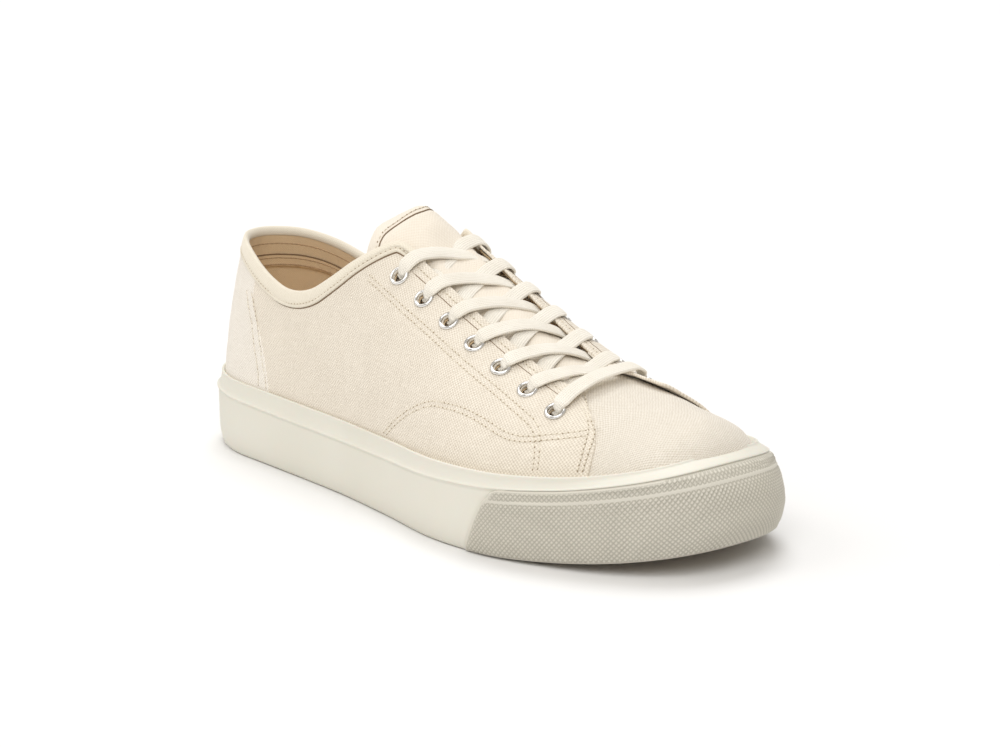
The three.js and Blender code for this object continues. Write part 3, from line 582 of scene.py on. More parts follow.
def welded(points, faces, reach):
    """Joins points closer than reach, and drops what collapses."""
    key = {}
    index = np.empty(len(points), int)
    cell = np.floor(points / reach).astype(int)
    kept = []
    for i, c in enumerate(map(tuple, cell.tolist())):
        found = None
        for dx in (-1, 0, 1):
            for dy in (-1, 0, 1):
                for dz in (-1, 0, 1):
                    for k in key.get((c[0] + dx, c[1] + dy, c[2] + dz), ()):
                        if np.abs(points[kept[k]] - points[i]).sum() < reach:
                            found = k
                            break
        if found is None:
            found = len(kept)
            kept.append(i)
            key.setdefault(c, []).append(found)
        index[i] = found
    out = []
    for face in faces:
        ring = []
        for k in face:
            if not ring or index[k] != ring[-1]:
                ring.append(int(index[k]))
        while len(ring) > 1 and ring[0] == ring[-1]:
            ring.pop()
        if len(ring) > 2 and len(set(ring)) == len(ring):
            out.append(tuple(ring))
    return kept, out


def rims(faces):
    """Edges that only one face has, in that face's direction."""
    seen = {}
    for face in faces:
        for a, b in zip(face, face[1:] + face[:1]):
            seen[(a, b)] = seen.get((a, b), 0) + 1
    return [(a, b) for (a, b) in seen if (b, a) not in seen]


def shell(patch, outer, inner, roll):
    """A closed sheet of cloth over a patch, between two offsets, with rolled edges."""
    t, s = patch.t, patch.s
    kept, faces = welded(skin(t, s), patch.faces, reach=0.22)
    t, s = t[kept], s[kept]
    base = relief(t, s)
    top = skin(t, s, (outer(t, s) if callable(outer) else outer) + base)
    low = skin(t, s, (inner(t, s) if callable(inner) else inner) + base)
    n = len(t)
    # Faces turned outwards.
    a, b, c = (top[[f[k] for f in faces]] for k in (0, 1, 2))
    normal = np.cross(b - a, c - a)
    away = ((top - low)[[f[0] for f in faces]] * normal).sum(1)
    if (away > 0).mean() < 0.5:
        faces = [f[::-1] for f in faces]
    points = [top, low]
    all_faces = list(faces) + [tuple(k + n for k in f[::-1]) for f in faces]
    edges = rims(faces)
    number = sorted({k for e in edges for k in e})
    where = {k: i for i, k in enumerate(number)}
    out = np.zeros((len(number), 3))
    for a, b in edges:
        d = top[b] - top[a]
        up = top[a] - low[a]
        side = np.cross(d, up)
        size = np.linalg.norm(side)
        if size > 1e-9:
            out[where[a]] += side / size
            out[where[b]] += side / size
    out /= np.maximum(np.linalg.norm(out, axis=1), 1e-9)[:, None]
    rings = []
    for k in range(1, 4):
        turn = np.pi * k / 4
        up = (1 + np.cos(turn)) / 2
        ring = low[number] + (top - low)[number] * up + out * roll * np.sin(turn)
        rings.append(len(np.vstack(points)))
        points.append(ring)
    chain = [lambda k: k] + [lambda k, r=r: r + where[k] for r in rings] + [lambda k: k + n]
    for a, b in edges:
        for one, two in zip(chain, chain[1:]):
            all_faces.append((one(b), one(a), two(a), two(b)))
    return np.vstack(points), all_faces, (t, s, number)


def ring_faces(m, n, closed=False, caps=True, flip=False):
    """Faces over m rings of n points each; closed joins the last ring to the first."""
    faces = [(i * n + j, i * n + (j + 1) % n, (i + 1) % m * n + (j + 1) % n, (i + 1) % m * n + j)
             for i in range(m if closed else m - 1) for j in range(n)]
    if caps and not closed:
        faces += [tuple(range(n))[::-1], tuple((m - 1) * n + j for j in range(n))]
    return [(f[0], *f[:0:-1]) for f in faces] if flip else faces


def slab_faces(m, n, ends=True, flip=False):
    """Faces of a slab: a grid of m by n points in front, the same behind, and the edges between them."""
    back = m * n
    faces = []
    for i in range(m - 1):
        for a in range(i * n, i * n + n - 1):
            faces.append((a, a + n, a + n + 1, a + 1))
            faces.append((back + a + 1, back + a + n + 1, back + a + n, back + a))
        a, b = i * n, i * n + n - 1
        faces.append((a, back + a, back + a + n, a + n))
        faces.append((b, b + n, back + b + n, back + b))
    if ends:
        for j in range(n - 1):
            a = (m - 1) * n + j
            faces.append((j, j + 1, back + j + 1, back + j))
            faces.append((a + 1, a, back + a, back + a + 1))
    return [(f[0], *f[:0:-1]) for f in faces] if flip else faces


# Meshes
def to_row(points):
    return (np.asarray(points) + TO_ROW) / 1000.0


def make(name, points, faces, material, uv, stands_for, slot):
    mesh = bpy.data.meshes.new(name)
    mesh.from_pydata(to_row(points).tolist(), [], [list(map(int, f)) for f in faces])
    mesh.update()
    mesh.polygons.foreach_set("use_smooth", [True] * len(mesh.polygons))
    if uv is not None:
        layer = mesh.uv_layers.new(name="weave")
        loops = np.empty(len(mesh.loops), int)
        mesh.loops.foreach_get("vertex_index", loops)
        layer.data.foreach_set("uv", np.asarray(uv, np.float32)[loops].ravel())
    mesh.materials.append(material)
    obj = bpy.data.objects.new(name, mesh)
    bpy.context.scene.collection.objects.link(obj)
    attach(obj, "root")
    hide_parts(*stands_for)


def flat_uv(t, s, kind):
    """Flat lengths for the weave, in mm."""
    p = skin(t, s)
    if kind == "vamp":
        line = skin(np.linspace(0, 1, 400), np.zeros(400))
        tip = last_point(np.ones(60), OUTER, np.linspace(np.pi / 2, 0, 60))
        line = np.vstack([line, tip])
        rising = np.maximum.accumulate(line[:, 0]) + np.arange(len(line)) * 1e-6
        u = np.interp(p[..., 0], rising, run_along(line))
        side = np.where(s < 0, OUTER, INNER)
        ridge = BALL_WIDTH * through(LAST, 2, clamp((p[..., 0] - RIDGE_BACK) / RIDGE_LENGTH))
        drop = (skin(t, 0 * s)[..., 2] - p[..., 2]) * 0.8
        ahead = smooth((p[..., 0] - 245) / 25)
        way = np.where(ahead > 0.98, np.sign(p[..., 1] - ridge), side)
        v = np.hypot(p[..., 1] - ridge, drop * (1 - ahead)) * way
        return np.stack([u + drop * ahead, v], -1)
    ts = np.linspace(0, 1, TURNS + 1)
    out = np.zeros(p.shape[:-1] + (2,))
    for sd in (OUTER, INNER):
        mid = skin(ts, np.full(ts.shape, sd * 0.6))
        pick = (s < 0) if sd == OUTER else (s >= 0)
        u = np.interp(t, ts, run_along(mid)) * sd
        v = (1 - np.abs(s)) * np.interp(t, ts, ANGLES[sd][1])
        out[pick] = np.stack([u, v], -1)[pick]
    return out


# Materials
class Nodes:
    """Short names for building a material's nodes."""

    def __init__(self, name):
        self.material = bpy.data.materials.new(name)
        self.material.use_nodes = True
        self.tree = self.material.node_tree
        self.shader = self.tree.nodes["Principled BSDF"]

    def add(self, kind, **values):
        node = self.tree.nodes.new(kind)
        for key, value in values.items():
            if key in ("operation", "uv_map"):
                setattr(node, key, value)
            else:
                node.inputs[key].default_value = value
        return node

    def spread(self, value, low=(0.0, 1.0), high=(0.0, 1.0)):
        """Maps a value from one range to another."""
        node = self.add("ShaderNodeMapRange")
        self.link(value, node.inputs["Value"])
        for socket, number in zip(("From Min", "From Max", "To Min", "To Max"), (*low, *high)):
            node.inputs[socket].default_value = number
        return node.outputs[0]

    def colour(self, share, dark, light):
        self.link(self.mix(share, dark, light), self.shader.inputs["Base Color"])

    def weave_uv(self):
        uv = self.add("ShaderNodeUVMap", uv_map="weave").outputs["UV"]
        parts = self.add("ShaderNodeSeparateXYZ")
        self.link(uv, parts.inputs[0])
        return uv, parts.outputs[0], parts.outputs[1]

    def link(self, a, b):
        self.tree.links.new(a, b)

    def math(self, operation, a, b=None):
        node = self.add("ShaderNodeMath", operation=operation)
        for socket, value in zip(node.inputs, (a, b)):
            if isinstance(value, (int, float)):
                socket.default_value = value
            elif value is not None:
                self.link(value, socket)
        return node.outputs[0]

    def mix(self, factor, a, b):
        node = self.tree.nodes.new("ShaderNodeMix")
        node.data_type = "RGBA"
        self.link(factor, node.inputs[0])
        node.inputs[6].default_value = (*a, 1.0)
        node.inputs[7].default_value = (*b, 1.0)
        return node.outputs[2]

    def noise(self, scale, detail, vector=None):
        node = self.add("ShaderNodeTexNoise", Scale=scale, Detail=detail)
        if vector is None:
            vector = self.add("ShaderNodeTexCoord").outputs["Object"]
        self.link(vector, node.inputs["Vector"])
        return node.outputs["Fac"]

    def bump(self, height, distance, strength=1.0):
        node = self.add("ShaderNodeBump", Strength=strength, Distance=distance)
        self.link(height, node.inputs["Height"])
        self.link(node.outputs["Normal"], self.shader.inputs["Normal"])

    def set(self, **values):
        for key, value in values.items():
            self.shader.inputs[key.replace("_", " ")].default_value = value


def cloth(name, light, dark, pitch=0.72, depth=0.00018, spots=0.5, twill=False):
    """Plain-woven cloth: threads over and under, with thick and thin places."""
    n = Nodes(name)
    uv, u, v = n.weave_uv()
    wobble = n.noise(0.35, 2.0, uv)
    u = n.math("ADD", u, n.math("MULTIPLY", wobble, 0.9))
    v = n.math("ADD", v, n.math("MULTIPLY", wobble, 0.7))
    k = math.pi / pitch
    if twill:
        wave = n.math("SINE", n.math("MULTIPLY", n.math("ADD", u, v), k * 1.2))
        fine = n.math("SINE", n.math("MULTIPLY", u, k * 2))
        weave = n.math("ADD", wave, n.math("MULTIPLY", fine, 0.3))
    else:
        a = n.math("SINE", n.math("MULTIPLY", u, k))
        b = n.math("SINE", n.math("MULTIPLY", v, k))
        weave = n.math("MULTIPLY", a, b)
    # Threads that are thicker in places, along both directions.
    slubs = []
    for stretch in ((0.12, 2.4, 1.0), (2.4, 0.12, 1.0)):
        scaled = n.add("ShaderNodeVectorMath", operation="MULTIPLY")
        scaled.inputs[1].default_value = stretch
        n.link(uv, scaled.inputs[0])
        slubs.append(n.noise(1.0, 2.0, scaled.outputs[0]))
    slub = n.math("ADD", slubs[0], slubs[1])
    height = n.math("ADD", n.math("MULTIPLY", weave, 0.5), n.math("MULTIPLY", slub, 0.9))
    n.bump(height, depth)
    tone = n.math("ADD", n.math("MULTIPLY", weave, 0.42), n.math("MULTIPLY", slub, spots))
    tone = n.math("ADD", tone, n.math("MULTIPLY", n.noise(55.0, 3.0), 0.2))
    middle = spots + 0.1
    n.colour(n.spread(tone, (middle - 0.5, middle + 0.5)), dark, light)
    n.set(Roughness=0.92, Specular_IOR_Level=0.18, Sheen_Weight=0.25, Sheen_Roughness=0.6)
    return n.material


RUBBER_GRAIN = 0.00002


def rubber(name, light, dark, rough=0.5):
    n = Nodes(name)
    n.colour(n.spread(n.noise(22.0, 4.0), (0.3, 0.7)), dark, light)
    rougher = n.spread(n.noise(90.0, 3.0), high=(rough - 0.08, rough + 0.1))
    n.link(rougher, n.shader.inputs["Roughness"])
    n.bump(n.noise(2600.0, 2.0), RUBBER_GRAIN, 0.6)
    n.set(Specular_IOR_Level=0.4, Subsurface_Weight=0.08, Subsurface_Scale=0.002)
    return n.material


def grip_rubber():
    """Rubber painted darker between the small pyramids of the grip strip: painted shade in the hollows,
    painted light on the pyramids' tops and on the raised line.
    """
    n = Nodes("bumper_rubber")
    _, u, v = n.weave_uv()
    slopes = []
    for sign in ("ADD", "SUBTRACT"):
        turn = n.math("DIVIDE", n.math(sign, u, v), GRIP_PITCH)
        slopes.append(n.math("MULTIPLY", n.math("PINGPONG", turn, 0.5), 2.0))
    height = n.math("MINIMUM", slopes[0], slopes[1])
    on_line = n.math("LESS_THAN", n.math("ABSOLUTE", n.math("SUBTRACT", v, GRIP_LINE)), 0.55)
    # The tone follows the pyramids' height: painted shade in the hollows, painted light on the tops and on
    # the raised line.
    shade = n.spread(n.math("MAXIMUM", height, on_line), (0.12, 0.62))
    n.colour(shade, (0.47, 0.445, 0.375), (0.68, 0.65, 0.57))
    n.bump(n.noise(2600.0, 2.0), RUBBER_GRAIN, 0.6)
    n.set(Roughness=0.55, Specular_IOR_Level=0.35)
    return n.material


def thread(name, colour):
    n = Nodes(name)
    n.colour(n.spread(n.noise(900.0, 2.0)), tuple(c * 0.86 for c in colour), colour)
    n.set(Roughness=0.8, Specular_IOR_Level=0.3)
    return n.material


def nickel():
    n = Nodes("nickel")
    n.colour(n.spread(n.noise(90.0, 1.0)), (0.74, 0.73, 0.71), (0.86, 0.85, 0.83))
    rough = n.spread(n.noise(120.0, 1.0), high=(0.12, 0.2))
    n.link(rough, n.shader.inputs["Roughness"])
    n.set(Metallic=1.0)
    return n.material


def lace_cloth():
    """Flat cotton lace: fine ribs along it and a slanted knit."""
    n = Nodes("lace_cotton")
    _, along, across = n.weave_uv()
    ribs = n.math("SINE", n.math("MULTIPLY", across, 2 * math.pi / 0.95))
    knit = n.math("ADD", along, n.math("ABSOLUTE", across))
    slant = n.math("SINE", n.math("MULTIPLY", knit, 2 * math.pi / 0.9))
    height = n.math("ADD", n.math("MULTIPLY", ribs, 0.6), n.math("MULTIPLY", slant, 0.35))
    n.bump(height, 0.00012)
    tone = n.math("ADD", n.math("MULTIPLY", height, 0.35), n.noise(120.0, 3.0))
    n.colour(n.spread(tone), (0.79, 0.735, 0.63), (0.92, 0.88, 0.795))
    n.set(Roughness=0.9, Specular_IOR_Level=0.2, Sheen_Weight=0.3, Sheen_Roughness=0.6)
    return n.material


CANVAS_CLOTH = cloth("canvas", (0.92, 0.855, 0.745), (0.62, 0.545, 0.44))
# The vamp's canvas is a darker copy of the canvas with a weaker weave contrast: the darkening is painted
# shade, to offset the strong light on its upward faces.
SHADED_VAMP_CLOTH = cloth("canvas_vamp_shaded", (0.86, 0.81, 0.725), (0.64, 0.575, 0.475))
# The heel patch's canvas is a lighter copy of the canvas: painted light, as the heel gets more light from the
# left.
LIT_HEEL_CLOTH = cloth("canvas_heel_lit", (0.96, 0.915, 0.84), (0.70, 0.64, 0.55))
PLAIN = {"depth": 0.0001, "spots": 0.3}
TWILL = {"depth": 0.0001, "twill": True}
TAPE_CLOTH = cloth("canvas_tape", (0.84, 0.785, 0.67), (0.74, 0.67, 0.54), pitch=0.6, **PLAIN)
TONGUE_CLOTH = cloth("canvas_tongue", (0.85, 0.785, 0.68), (0.78, 0.70, 0.59), pitch=0.7, **PLAIN)
LINING_CLOTH = cloth("lining_cotton", (0.88, 0.69, 0.45), (0.80, 0.61, 0.38), pitch=0.5, **TWILL)
SOCK_CLOTH = cloth("insole_cotton", (0.82, 0.64, 0.42), (0.74, 0.56, 0.35), pitch=0.6, **TWILL)
WALL_RUBBER = rubber("foxing_rubber", (0.745, 0.725, 0.645), (0.715, 0.695, 0.61))
TREAD_RUBBER = rubber("outsole_rubber", (0.50, 0.42, 0.31), (0.42, 0.34, 0.25), rough=0.6)
BUMPER_RUBBER = grip_rubber()
NICKEL = nickel()
LACE_CLOTH = lace_cloth()
THREAD = thread("sewing_thread", (0.80, 0.735, 0.61))
THREAD_TAN = thread("lining_thread", (0.52, 0.35, 0.21))
# Dark dots at the needle holes: painted shade where the thread pulls the canvas in.
HOLE_SHADE = thread("needle_hole_shade", (0.37, 0.28, 0.185))
FOLD_SHADOW = thread("fold_shadow", (0.22, 0.145, 0.085))


# Upper
def cloth_piece(name, patch, outer, inner, material, kind="quarter", roll=0.35):
    points, faces, (t, s, number) = shell(patch, outer, inner, roll)
    uv = flat_uv(t, s, kind)
    uv = np.vstack([uv, uv, uv[number], uv[number], uv[number]])
    make(name, points, faces, material, uv, ("upper",), "canvas")


TURN_COUNTER = float(turn_at(0.23))


def front_lift(p, side):
    """How far the quarter's front corner stands off the vamp."""
    near = clamp(1 + ahead_of_quarter(p) / 16) ** 2 * clamp((p[..., 2] - 44) / 10)
    return near * clamp((p[..., 0] - 215) / 15) * (2.6 if side == INNER else 0.4)


def in_holes(p):
    """Above zero inside the holes that the eyelets line."""
    centres = np.array([centre for _, _, centre, _ in PLACES])
    return HOLE_RADIUS - np.linalg.norm(p[..., None, :] - centres, axis=-1).min(-1)


def build_upper():
    cell, band_cell, lining_cell = 1.3, 1.5, 2.0
    quarter_start, quarter_end, vamp_start = 0.07, float(turn_at(0.885)), float(turn_at(0.70))
    halves = ((OUTER, "outer", (-1, 0)), (INNER, "inner", (0, 1)))
    for side, name, span in halves:
        patch = Patch.grid(quarter_start, quarter_end, *span, cell).keep(below_rubber)
        patch = patch.keep(open_field, CANVAS).keep(ahead_of_quarter).keep(in_holes, CANVAS)

        def outer(t, s, side=side):
            return CANVAS + front_lift(skin(t, s), side)

        def inner(t, s, side=side):
            return outer(t, s, side) - CLOTH_THICK

        cloth_piece("quarter_" + name, patch, outer, inner, CANVAS_CLOTH, roll=0.5)
    patch = Patch.grid(vamp_start, 1, -1, 1, cell)
    patch = patch.keep(below_rubber).keep(lambda p: -ahead_of_quarter(p) - VAMP_OVERLAP)
    patch = patch.keep(lambda p: in_throat(p + np.array([VAMP_UNDER_LACE, 0, 0])))
    cloth_piece("vamp", patch, 0.0, -VAMP_THICK, SHADED_VAMP_CLOTH, "vamp")
    patch = Patch.wrap(0, 1, TURN_COUNTER + 0.03, cell)
    patch = patch.keep(below_rubber).keep(open_field, CANVAS).keep(ahead_of_counter)
    cloth_piece("heel_patch", patch, CANVAS + COUNTER_STEP, CANVAS - 0.35, LIT_HEEL_CLOTH)
    band_top, band_low, band_turn = 10.0, 15.5, 0.46
    patch = Patch.wrap(0, 1, band_turn, band_cell)
    patch = patch.keep(lambda p: open_field(p) + band_top).keep(lambda p: -open_field(p) - band_low)
    cloth_piece("lining_band", patch, -WALL + 0.1, -WALL - 0.55, LINING_CLOTH, roll=0.2)
    for _, name, span in halves:
        patch = Patch.grid(0, 1, *span, lining_cell)
        patch = patch.keep(lambda p: FOOT_HEIGHT + 2 + spring(p[..., 0]) - p[..., 2])
        patch = patch.keep(lambda p: open_field(p) + 1.2).keep(in_holes)
        cloth_piece("lining_" + name, patch, -0.85, -WALL, LINING_CLOTH, roll=0.2)


# Collar tape
TAPE_WIDTH = np.array([
    (-15, 6.4), (60, 6.2), (82, 5.9), (104, 5.0), (112, 4.5), (120, 4.1), (132, 3.8), (145, 3.2)])  # x, width
TAPE_END, TAPE_STEP = 137.0, 1.2


def metric(t, s):
    """Surface directions along t and away from the top line, and the opening's slope along them."""
    e = 2e-4
    lo, hi = clamp(t - e), clamp(t + e)
    away = np.where(s < 0, -e, e)
    pt = (skin(hi, s, CANVAS) - skin(lo, s, CANVAS)) / (hi - lo)[:, None]
    pv = (skin(t, s + away, CANVAS) - skin(t, s - away, CANVAS)) / (2 * e)
    ft = (open_field(skin(hi, s, CANVAS)) - open_field(skin(lo, s, CANVAS))) / (hi - lo)
    fv = (open_field(skin(t, s + away, CANVAS)) - open_field(skin(t, s - away, CANVAS))) / (2 * e)
    return pt, pv, ft, fv


def walk_rim(side, until):
    """Along the opening's edge from the heel's back to x = until."""
    lo, hi = 0.0, 1.0
    for _ in range(40):
        mid = (lo + hi) / 2
        if open_field(skin(np.zeros(1), np.array([side * mid]), CANVAS))[0] < 0:
            hi = mid
        else:
            lo = mid
    t, v = 0.0, hi
    path = [(t, v)]
    for _ in range(400):
        pt, pv, ft, fv = (k[0] for k in metric(np.array([max(t, 1e-3)]), np.array([side * v])))
        dt, dv = abs(fv), -ft * np.sign(fv)
        size = np.linalg.norm(pt * dt + pv * dv)
        t, v = t + TAPE_STEP * dt / size, v + TAPE_STEP * dv / size
        for _ in range(3):
            here = skin(np.array([t]), np.array([side * v]), CANVAS)
            _, _, ft, fv = (k[0] for k in metric(np.array([t]), np.array([side * v])))
            f = open_field(here)[0]
            t, v = t - f * ft / (ft * ft + fv * fv), v - f * fv / (ft * ft + fv * fv)
        path.append((t, v))
        if here[0, 0] > until:
            break
    return np.array(path)


def collar_stations():
    outer, inner = walk_rim(OUTER, TAPE_END), walk_rim(INNER, TAPE_END)
    t = np.concatenate([outer[::-1, 0], inner[1:, 0]])
    side = np.concatenate([np.full(len(outer), OUTER), np.full(len(inner) - 1, INNER)])
    v = np.concatenate([outer[::-1, 1], inner[1:, 1]])
    return t, side, v * side


TAPE_T, TAPE_SIDE, TAPE_S = collar_stations()


def tape_width():
    return np.interp(skin(TAPE_T, TAPE_S)[:, 0], TAPE_WIDTH[:, 0], TAPE_WIDTH[:, 1])


def from_rim(distance):
    """t and s at a distance below the rim, measured over the cloth."""
    t, v = TAPE_T.copy(), np.abs(TAPE_S)
    distance = np.broadcast_to(distance, t.shape)
    along = unit(np.gradient(skin(TAPE_T, TAPE_S, CANVAS), axis=0))
    for _ in range(3):
        pt, pv, _, _ = metric(clamp(t, 1e-3, 1), TAPE_SIDE * v)
        down = unit(np.cross(np.cross(pt, pv), along))
        down *= np.sign((down * pv).sum(1))[:, None]
        a, b, c = (pt * pt).sum(1), (pt * pv).sum(1), (pv * pv).sum(1)
        x, y = (down * pt).sum(1), (down * pv).sum(1)
        det = a * c - b * b
        t = clamp(t + distance / 3 * (c * x - b * y) / det)
        v = v + distance / 3 * (a * y - b * x) / det
    return t, TAPE_SIDE * v


PROUD = CANVAS + COUNTER + BINDING
TAPE_SEAM = 1.35  # how far the tape's stitches lie from its lower edge


def tape_proud():
    """The tape's outer face; it thins out under the first lace."""
    return PROUD - 0.75 * smooth((skin(TAPE_T, TAPE_S)[:, 0] - 127) / 8)


def build_tape():
    width = tape_width()
    base = relief(TAPE_T, TAPE_S)
    proud = tape_proud()
    rows = [
        (width, CANVAS + 0.1), (width, proud - 0.55), (width - 0.12, proud - 0.22),
        (width - 0.45, proud - 0.05), (width - 0.95, proud - 0.08), (width - TAPE_SEAM, proud - 0.3),
        (width - 1.8, proud - 0.05), (width * 0.55, proud + 0.12), (width * 0.25, proud + 0.15),
        (0 * width + 0.2, proud)]
    mid, half = (proud - WALL - 0.15) / 2, (proud + WALL + 0.15) / 2
    for k in range(1, 8):
        turn = np.pi * k / 8
        rows.append((-1.25 * np.sin(turn) + 0 * width, mid + half * np.cos(turn)))
    for down, off in ((0.3, -WALL - 0.15), (0.8, -WALL - 0.15), (1.0, -WALL), (1.0, -WALL + 0.8)):
        rows.append((down + 0 * width, off))
    rings = [skin(*from_rim(d), off + base) for d, off in rows]
    grid = np.stack(rings, 1)
    across = np.arange(grid.shape[1]) * 0.8
    uv = np.stack(np.broadcast_arrays(run_along(grid[:, 0])[:, None], across[None, :]), -1).reshape(-1, 2)
    faces = ring_faces(*grid.shape[:2])
    make("collar_tape", grid.reshape(-1, 3), faces, TAPE_CLOTH, uv, ("upper",), "canvas")


# Stitches
PILL = ((-0.5, 0.25), (-0.42, 0.75), (-0.25, 1.0), (0.25, 1.0), (0.42, 0.75), (0.5, 0.25))  # along, size


def pill(length, width, height):
    """A small rounded bar along x."""
    around = 8
    points = []
    for x, size in PILL:
        for a in range(around):
            turn = 2 * math.pi * a / around
            points.append((x * length, math.cos(turn) * width / 2 * size, math.sin(turn) * height / 2 * size))
    return np.array(points), ring_faces(len(PILL), around, flip=True)


def frames_along(centre, normal):
    """Directions along, across and out of a path."""
    along = unit(np.gradient(centre, axis=0))
    across = unit(np.cross(normal, along))
    return along, across, np.cross(along, across)


def normals_at(t, s, off):
    e = 1e-3
    a = skin(clamp(t + e), s, off) - skin(clamp(t - e), s, off)
    side = np.where(s < 0, -1, 1)
    b = skin(t, s - side * e, off) - skin(t, s + side * e, off)
    n = np.cross(a, b) * np.where(s < 0, 1, -1)[:, None]
    n /= np.maximum(np.linalg.norm(n, axis=1), 1e-12)[:, None]
    up = skin(t, s, off + 0.5) - skin(t, s, off)
    return n * np.sign((n * up).sum(1))[:, None]


def scatter(shape, centre, along, across, out, jitter=0.0):
    points, faces = shape
    n = len(points)
    turn = RNG.normal(0, jitter, len(centre))[:, None]
    a = along * np.cos(turn) + across * np.sin(turn)
    b = across * np.cos(turn) - along * np.sin(turn)
    all_points = (centre[:, None] + points[None, :, 0:1] * a[:, None] + points[None, :, 1:2] * b[:, None]
                  + points[None, :, 2:3] * out[:, None]).reshape(-1, 3)
    all_faces = [tuple(k + i * n for k in f) for i in range(len(centre)) for f in faces]
    return all_points, all_faces


def joined(parts):
    points, faces, n = [], [], 0
    for p, f in parts:
        points.append(p)
        faces += [tuple(k + n for k in face) for face in f]
        n += len(p)
    return np.vstack(points), faces


def stitch_rows(rows):
    """Threads, and dark dots of painted shade at the needle holes, for rows given as (t, s, offset)."""
    threads, holes = [], []
    bar, dot = pill(STITCH_PITCH * 0.74, STITCH_WIDTH, 0.42), pill(0.62, 0.5, 0.12)
    for t, s, off in rows:
        t, s = resample(t, s, off, STITCH_PITCH)
        lift = off + relief(t, s)
        centre, normal = skin(t, s, lift), normals_at(t, s, off)
        along, across, out = frames_along(centre, normal)
        mid_t, mid_s = (t[1:] + t[:-1]) / 2, (s[1:] + s[:-1]) / 2
        mid = skin(mid_t, mid_s, off + relief(mid_t, mid_s))
        mid += STITCH_LIFT * out[:-1]
        threads.append(scatter(bar, mid, along[:-1], across[:-1], out[:-1], STITCH_TURN))
        # A dark dot of painted shade at each needle hole.
        holes.append(scatter(dot, centre + 0.03 * out, along, across, out))
    return joined(threads), joined(holes)


def tube(centre, normal, radius):
    """A thin cord along a path."""
    sides = 6
    _, across, out = frames_along(centre, normal)
    ring = np.linspace(0, 2 * np.pi, sides, endpoint=False)
    radius = np.broadcast_to(radius, len(centre))[:, None, None]
    grid = (centre[:, None] + across[:, None] * np.cos(ring)[None, :, None] * radius
            + out[:, None] * np.sin(ring)[None, :, None] * radius)
    return grid.reshape(-1, 3), ring_faces(len(centre), sides)


def skin_line(t, s, off, radius, sink=0.0, taper=0.0):
    """A thin line over the skin, thinning out over a length at its start."""
    step = 0.9
    t, s = resample(t, s, 0, step)
    run = np.arange(len(t)) * step
    if taper:
        radius = radius * (0.25 + 0.75 * smooth(run / taper))
    off = off + relief(t, s) - sink
    return tube(skin(t, s, off), normals_at(t, s, 0.0), radius)


def rim_path(down, side, low=-50.0, high=200.0):
    """t and s along the rim on one side, from the heel's back, between two values of x."""
    t, s = from_rim(down)
    back = int(np.flatnonzero(TAPE_SIDE == OUTER)[-1])
    if side == OUTER:
        t, s = t[back::-1], s[back::-1]
    else:
        t, s = t[back:], np.abs(s[back:])
    x = skin(t, s)[:, 0]
    keep = (x > low) & (x < high)
    return t[keep], s[keep]


def build_stitches():
    rows = []
    for name, off, t, s in SEAMS:
        p = skin(t, s)
        ok = (p[:, 2] > sole_height(p[:, 0]) + 0.8) & (open_field(skin(t, s, CANVAS)) < -1.0)
        if name in ("arch", "eyestay"):
            ok &= (ahead_of_quarter(p) < -2.0) & (in_collar(skin(t, s, CANVAS)) < -4.0)
        if name == "heel":
            ok &= in_collar(skin(t, s, CANVAS)) < -BINDING_WIDTH - 1
        lift = 0.0
        if name == "front":
            side = OUTER if s[0] < 0 else INNER
            lift = float(front_lift(p, side)[ok].mean())
        if ok.sum() > 4:
            rows.append((t[ok], s[ok], off + lift))
    width = tape_width()
    for side in (OUTER, INNER):
        rows.append((*rim_path(width - TAPE_SEAM, side, high=132), PROUD - 0.2))
    threads, holes = stitch_rows(rows)
    make("stitches", *threads, THREAD, None, ("upper",), "canvas")
    make("needle_hole_shade", *holes, HOLE_SHADE, None, ("upper",), "canvas")
    rows, lines = [], []
    inside_end = 118
    for side in (OUTER, INNER):
        for down, off in ((4.8, -WALL - 0.05), (11.2, -WALL - 0.6), (14.3, -WALL - 0.6)):
            rows.append((*rim_path(down, side, high=inside_end), off))
        # Dark cords of painted shadow: along the lining's fold, under the tape's lower edge and beside the
        # throat.
        lines.append(skin_line(*rim_path(9.7, side, high=inside_end), -WALL - 0.3, 0.35))
        lines.append(skin_line(*rim_path(width + 0.1, side, low=60), CANVAS, 0.3, taper=32.0))
        lines.append(skin_line(*throat_seam(side, 4.5), CANVAS, 0.2, sink=0.08, taper=5.0))
    make("lining_stitches", *joined(stitch_rows(rows)), THREAD_TAN, None, ("upper",), "canvas")
    make("fold_shadow_lines", *joined(lines), FOLD_SHADOW, None, ("upper",), "canvas")


# Sole
def wall_inset(share, x):
    toe = toe_share(x)
    foot = (BOTTOM_TUCK + TOE_BOTTOM_TUCK * toe) * clamp(1 - share / 0.4) ** 2
    return foot + TOE_WALL_LEAN * toe * clamp((share - 0.4) / 0.6) ** 2


def outline_run(side, t):
    """x of the outline at each t, and the length along it."""
    x, y = plan(t, side, 0.0)
    return x, run_along(np.stack([x, y], -1))


def even_t(count, side):
    """t at equal steps along the outline."""
    t = np.linspace(0, 1, 4000)
    _, run = outline_run(side, t)
    return np.interp(np.linspace(0, run[-1], count + 1), run, t)


def band(name, section, count, material, stands_for, slot):
    """A closed band round the sole from a section of (inset, z) rows."""
    t = np.concatenate([even_t(count, OUTER)[:-1], even_t(count, INNER)[:0:-1]])
    side = np.concatenate([np.full(count, OUTER), np.full(count, INNER)])
    grid = []
    for inset, z in section(plan(t, side, 0.0)[0], t, side):
        x, y = plan(t, side, inset)
        grid.append(np.stack([x, y, np.broadcast_to(z, x.shape)], -1))
    grid = np.stack(grid, 1)
    faces = ring_faces(*grid.shape[:2], closed=True, flip=True)
    make(name, grid.reshape(-1, 3), faces, material, None, stands_for, slot)


